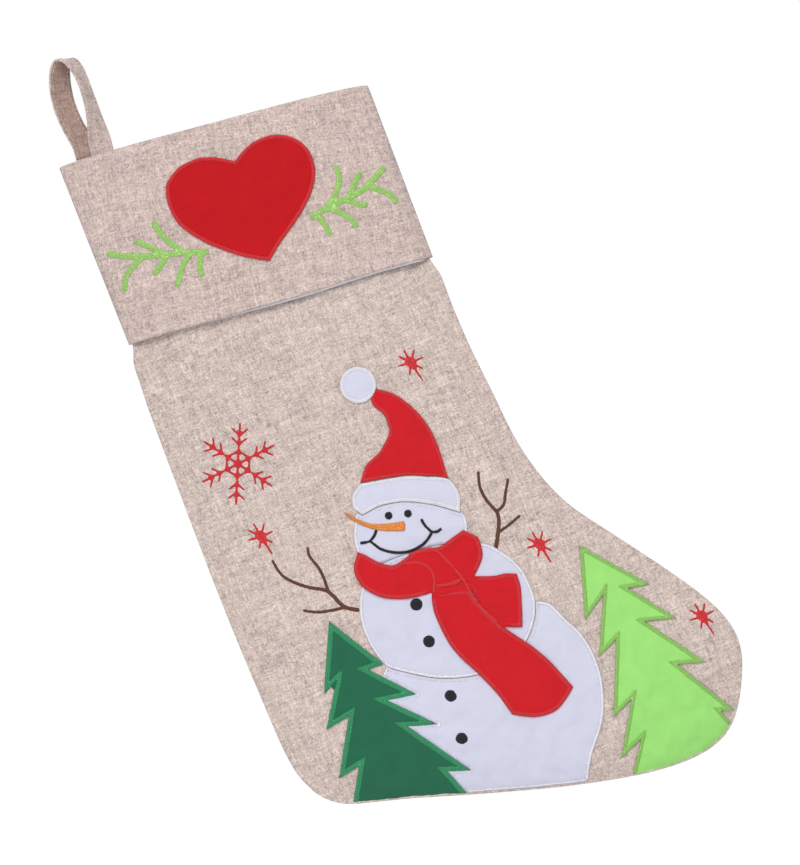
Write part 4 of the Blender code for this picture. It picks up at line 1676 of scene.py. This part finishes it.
@dataclass
class HangingLoop:
    """The folded strap that the stocking hangs from, with its stitched edges."""

    hinge: Points
    step: float = 1.2
    thick: float = 1.6
    end_room: float = 6.0
    margin: float = 2.2
    stitch: float = 2.6
    gap: float = 1.0
    bare_end: float = 16.0
    bend_reach: float = 6.5

    def rails(self) -> Points:
        """The strap's four long edges, as stations by edge by coordinate.

        Returns:
            The edges' points.
        """
        solid = Solid("hanging_loop")
        normals: dict[tuple[int, int], Points] = {}
        sharp: dict[int, set[int]] = {}
        for t in solid.triangles:
            a, b, c = solid.points[t]
            normal = np.cross(b - a, c - a)
            normal /= np.linalg.norm(normal)
            for k in range(3):
                edge = int(t[k]), int(t[(k + 1) % 3])
                other = normals.get((edge[1], edge[0]))
                normals[edge] = normal
                if other is not None and float(other @ normal) < 0.5:
                    sharp.setdefault(edge[0], set()).add(edge[1])
                    sharp.setdefault(edge[1], set()).add(edge[0])
        lowest = solid.points[:, 2].min()
        ends = [i for i, near in sharp.items()
                if len(near) == 3 and solid.points[i][2] < lowest + self.end_room]
        first = [min(ends, key=lambda i: solid.points[i][0])]
        while len(first) < 4:
            first.append(next(i for i in ends if i in sharp[first[-1]] and i not in first))
        rails = []
        for at in first:
            rail = [at, next(i for i in sharp[at] if i not in first)]
            while rail[-1] not in ends:
                here, before = rail[-1], rail[-2]
                way = solid.points[here] - solid.points[before]
                rail.append(max((i for i in sharp[here] if i != before),
                                key=lambda i: straightness(way, solid.points[i] - solid.points[here])))
            rails.append(solid.points[rail])
        return np.stack(rails, axis=1)

    def build(self) -> None:
        """Makes the strap and its rows of stitches."""
        rails = self.rails()
        lengths = np.linalg.norm(rails[0] - np.roll(rails[0], -1, axis=0), axis=1)
        if lengths[0] < lengths[1]:
            rails = np.roll(rails, -1, axis=1)
        centre = rails.mean(axis=1)
        across = rails[:, 1] + rails[:, 2] - rails[:, 0] - rails[:, 3]
        width = float(np.median(np.linalg.norm(across, axis=1))) / 2
        across /= np.linalg.norm(across, axis=1)[:, None]
        centre, across = self.with_ends(centre, across)
        centre, across = self.finer(centre, across)
        self.sweep(centre, across, width)
        self.topstitch(centre, across, width)

    def with_ends(self, centre: Points, across: Points) -> tuple[Points, Points]:
        """Carries both ends down inside the mouth.

        Args:
            centre: the strap's line.
            across: its direction across at each station.

        Returns:
            The longer line and its directions.
        """
        ends = [Solid(n) for n in ("loop_end_left", "loop_end_right")]
        found = []
        for solid in ends:
            low, high = solid.points.min(axis=0), solid.points.max(axis=0)
            middle = (low + high) / 2
            found.append([np.array([middle[0], middle[1], z])
                          for z in (low[2], (low[2] + high[2]) / 2, high[2] - 1)])
        flat = np.array([1.0, 0.0, 0.0])
        centre = np.vstack([found[0], centre, found[1][::-1]])
        sign = 1 if across[0] @ flat > 0 else -1
        last = 1 if across[-1] @ flat > 0 else -1
        across = np.vstack([[flat * sign] * 3, across, [flat * last] * 3])
        return centre, across

    def finer(self, centre: Points, across: Points) -> tuple[Points, Points]:
        """The strap's line with closer stations.

        Args:
            centre: the strap's line.
            across: its direction across at each station.

        Returns:
            The finer line and its directions.
        """
        rows = np.hstack([centre, across])
        for _ in range(2):
            rows[1:-1] = 0.25 * rows[:-2] + 0.5 * rows[1:-1] + 0.25 * rows[2:]
        run = np.concatenate([[0], np.cumsum(np.linalg.norm(np.diff(rows[:, :3], axis=0), axis=1))])
        places = np.linspace(0, run[-1], max(8, int(run[-1] / self.step)))
        fine = []
        for s in places:
            i = min(max(int(np.searchsorted(run, s)) - 1, 0), len(run) - 2)
            t = (s - run[i]) / (run[i + 1] - run[i])
            p0, p1, p2, p3 = (rows[min(max(i + k, 0), len(rows) - 1)] for k in (-1, 0, 1, 2))
            fine.append(between(p0, p1, p2, p3, t))
        fine = np.array(fine)
        return fine[:, :3], fine[:, 3:] / np.linalg.norm(fine[:, 3:], axis=1)[:, None]

    def frame_at(self, centre: Points, across: Points) -> tuple[Points, Points]:
        """The across and outward directions at every station, square to the strap's run.

        Args:
            centre: the strap's line.
            across: its rough direction across.

        Returns:
            The two directions.
        """
        along = np.gradient(centre, axis=0)
        along /= np.linalg.norm(along, axis=1)[:, None]
        square = across - along * (across * along).sum(axis=1)[:, None]
        square /= np.linalg.norm(square, axis=1)[:, None]
        return square, np.cross(along, square)

    def sweep(self, centre: Points, across: Points, width: float) -> None:
        """The strap itself: a flat tube with rounded edges, slightly dished between them, its flat face
        towards the loop's middle in a darker linen as painted shade.

        Args:
            centre: the strap's line.
            across: its direction across.
            width: its width.
        """
        side, out = self.frame_at(centre, across)
        half, deep = width / 2, self.thick / 2
        section = []
        for turn in np.radians(np.arange(-80, 81, 32)):
            section.append((half - deep + deep * math.cos(turn), deep * math.sin(turn)))
        top = [(w * half, deep * (0.86 + 0.14 * abs(w) ** 2)) for w in (0.6, 0.3, 0, -0.3, -0.6)]
        flat_from, flat_count = len(section) - 1, len(top) + 1
        section = section + top
        section = section + [(-a, -b) for a, b in section]
        rings = [centre + side * a + out * b for a, b in section]
        points = np.stack(rings, axis=1)
        waver = np.random.default_rng(4).normal(0, 0.06, points.shape[:2])[..., None]
        points = points + out[:, None] * waver
        stations, size = points.shape[:2]
        faces = tube_faces(stations, size)
        faces += [tuple(range(size))[::-1], tuple(range((stations - 1) * size, stations * size))]
        obj = made("hanging_loop_strap", points.reshape(-1, 3), faces, CUFF_LINEN.material())
        # the strap's flat face turned towards the loop's middle takes the darker linen: painted shade
        obj.data.materials.append(STRAP_PAINTED_SHADE.material())
        inward = float((out * (centre.mean(axis=0) - centre)).sum())
        first = flat_from if inward > 0 else flat_from + size // 2
        for polygon in obj.data.polygons:
            column = polygon.index % size
            if polygon.index < size * (stations - 1) and first <= column < first + flat_count:
                polygon.material_index = 1
        self.hang(obj)
        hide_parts("hanging_loop", "loop_end_left", "loop_end_right")

    def hang(self, obj: bpy.types.Object) -> None:
        """Bakes a piece of the strap's placement into its mesh.

        Args:
            obj: the piece.
        """
        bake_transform(obj)

    def topstitch(self, centre: Points, across: Points, width: float) -> None:
        """Two rows of stitches along the strap's edges, seen on both of its faces.

        Args:
            centre: the strap's line.
            across: its direction across.
            width: its width.
        """
        side, out = self.frame_at(centre, across)
        run = np.concatenate([[0], np.cumsum(np.linalg.norm(np.diff(centre, axis=0), axis=1))])
        points, faces = [], []
        begin = self.bare_end
        while begin + self.stitch < run[-1] - self.bare_end:
            for edge in (-1, 1):
                for face in (-1, 1):
                    self.one_stitch(points, faces, run, begin, (centre, side, out),
                                    edge * (width / 2 - self.margin), face)
            begin += self.stitch + self.gap
        obj = made("loop_topstitching", np.array(points), faces, CUFF_LINEN.material())
        self.hang(obj)

    def one_stitch(self, points: list, faces: list, run: Points, begin: float,
                   lines: tuple[Points, Points, Points], shift: float, face: int) -> None:
        """Adds one stitch, a small rounded run of thread.

        Args:
            points: the stitches' points so far.
            faces: their faces so far.
            run: how far along the strap each station is.
            begin: where the stitch begins.
            lines: the strap's line and its two directions.
            shift: how far across the stitch lies.
            face: 1 or -1, for the strap's face.
        """
        centre, side, out = lines
        first = len(points)
        for k, (share, size) in enumerate(((0, 0.06), (0.2, 0.26), (0.5, 0.32), (0.8, 0.26), (1, 0.06))):
            s = begin + share * self.stitch
            at, w, o = (np.array([np.interp(s, run, v[:, a]) for a in range(3)])
                        for v in (centre, side, out))
            for turn in range(THREAD_SIDES):
                angle = math.tau * turn / THREAD_SIDES
                points.append(at + w * (shift + size * math.cos(angle))
                              + o * face * (self.thick / 2 - 0.02 + size * math.sin(angle)))
            if k:
                faces += thread_faces(first + THREAD_SIDES * (k - 1))


@dataclass
class LoopTack:
    """The stitches that hold the strap's ends together inside the mouth."""

    rows: int = 5
    stations: int = 9
    radius: float = 0.4

    def build(self) -> None:
        """Makes the tack as rows of thread."""
        low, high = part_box("loop_tack")
        low, high = np.array(low) / MM, np.array(high) / MM
        points, faces = [], []
        for row in range(self.rows):
            z = low[2] + (row + 0.5) / self.rows * (high[2] - low[2])
            first = len(points)
            for k in range(self.stations):
                share = k / (self.stations - 1)
                x = low[0] + share * (high[0] - low[0])
                size = self.radius * (0.4 + 0.6 * math.sin(math.pi * share) ** 0.5)
                for turn in range(THREAD_SIDES):
                    angle = math.tau * turn / THREAD_SIDES
                    points.append((x, (low[1] + high[1]) / 2 + size * math.cos(angle),
                                   z + size * math.sin(angle)))
                if k:
                    faces += thread_faces(first + THREAD_SIDES * (k - 1))
        obj = made("loop_tack_stitches", np.array(points), faces, WHITE_THREAD.material())
        with_runs(obj, np.array(points) * (1, 0, 0))
        dress(obj, Body.STOCKING, WHITE_THREAD, "loop_tack")


# Studio.


@dataclass(frozen=True)
class Lamp:
    """A square softbox: its place from the stocking's middle and its side in metres, its power in watts."""

    name: str
    place: tuple[float, float, float]
    size: float
    power: float

    def build(self, middle: tuple[float, float, float]) -> None:
        """Sets it up, looking at the stocking's middle.

        Args:
            middle: the stocking's middle, in metres.
        """
        data = bpy.data.lights.new(self.name, "AREA")
        data.size, data.energy = self.size, self.power
        obj = bpy.data.objects.new(self.name, data)
        bpy.context.scene.collection.objects.link(obj)
        obj.location = Vector(middle) + Vector(self.place)
        obj.rotation_mode = "QUATERNION"
        obj.rotation_quaternion = (-Vector(self.place)).to_track_quat("-Z", "Y")


@dataclass
class Studio:
    """The camera, the lights and the pale floor."""

    centre: tuple[float, float, float] = (0.1420, -0.002, -0.2772)
    tall: float = 0.5363
    lens: float = 100.0
    sensor: float = 36.0
    roll: float = 15.0
    floor_drop: float = 0.75
    floor_radius: float = 0.6
    floor_sides: int = 64
    glow: float = 0.65
    lamps: tuple[Lamp, ...] = (
        Lamp("key", (0.2, -2.2, 1.5), 1.2, 39.0),
        Lamp("fill", (-0.9, -2.1, -0.5), 1.6, 13.0),
        Lamp("back", (-0.6, 2.0, 0.8), 1.6, 14.0),
    )

    def build(self) -> None:
        """Sets up the whole studio."""
        scene = bpy.context.scene
        scene.view_settings.view_transform = "Standard"
        scene.view_settings.look = "None"
        self.camera()
        self.world()
        for lamp in self.lamps:
            lamp.build(self.centre)
        self.floor()

    def camera(self) -> None:
        """A level camera in front, rolled so that the stocking hangs at a slant."""
        data = bpy.data.cameras.new("camera")
        data.lens, data.sensor_width = self.lens, self.sensor
        obj = bpy.data.objects.new("camera", data)
        bpy.context.scene.collection.objects.link(obj)
        turn = math.radians(self.roll)
        right = Vector((math.cos(turn), 0, -math.sin(turn)))
        up = Vector((math.sin(turn), 0, math.cos(turn)))
        back = Vector((0, -1, 0))
        away = self.lens * self.tall / self.sensor
        place = Matrix((right, up, back)).transposed().to_4x4()
        place.translation = Vector(self.centre) + back * away
        obj.matrix_world = place
        bpy.context.scene.camera = obj

    def world(self) -> None:
        """White to the camera, and a softer white as light."""
        world = bpy.data.worlds.new("studio")
        bpy.context.scene.world = world
        world.use_nodes = True
        graph = Graph(world.node_tree)
        world.node_tree.nodes.clear()
        seen = graph.add("ShaderNodeBackground", in_Color=(1, 1, 1, 1), in_Strength=1.0)
        light = graph.add("ShaderNodeBackground", in_Color=(1, 1, 1, 1), in_Strength=self.glow)
        path = graph.add("ShaderNodeLightPath")
        mix = graph.add("ShaderNodeMixShader", in_0=path.outputs["Is Camera Ray"],
                        in_1=light.outputs[0], in_2=seen.outputs[0])
        graph.add("ShaderNodeOutputWorld", in_Surface=mix.outputs[0])

    def floor(self) -> None:
        """A round pale floor well under the stocking."""
        turns = np.linspace(0, math.tau, self.floor_sides, endpoint=False)
        x, y, _ = np.array(self.centre) / MM
        points = np.column_stack([x + self.floor_radius / MM * np.cos(turns),
                                  y + self.floor_radius / MM * np.sin(turns),
                                  np.full(self.floor_sides, -self.floor_drop / MM)])
        material = bpy.data.materials.new("floor")
        material.use_nodes = True
        shader = material.node_tree.nodes["Principled BSDF"]
        shader.inputs["Base Color"].default_value = (0.85, 0.85, 0.85, 1)
        shader.inputs["Roughness"].default_value = 0.8
        made("floor", points, [tuple(range(self.floor_sides))], material)


def put_in_place(*parts: object) -> None:
    """Builds some parts in order and reports each of them.

    Args:
        parts: the parts, each with a build method.
    """
    for part in parts:
        part.build()
        LOG.info("%s is in place", type(part).__name__)


def main() -> None:
    """Builds the whole look."""
    logging.basicConfig(level=logging.INFO)
    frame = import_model()
    for make in (weave_group, fuzz_group, satin_group):
        make()
    hinge = np.array(frame["joints"][0]["pos_m"]) / MM
    middle = float(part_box("front_panel")[1].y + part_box("back_panel")[0].y) / 2 / MM
    leg = Leg(middle)
    cuff = Cuff(leg)
    put_in_place(leg, cuff)
    on_leg, on_cuff = Layer(leg.front), Layer(cuff.front)
    put_in_place(CuffTrim(on_cuff), Trees(on_leg, leg.rim), Snowman(on_leg, leg.rim), Sky(on_leg),
                 HangingLoop(hinge), LoopTack(), Studio())
    bpy.context.view_layer.update()


if __name__ == "__main__":
    main()
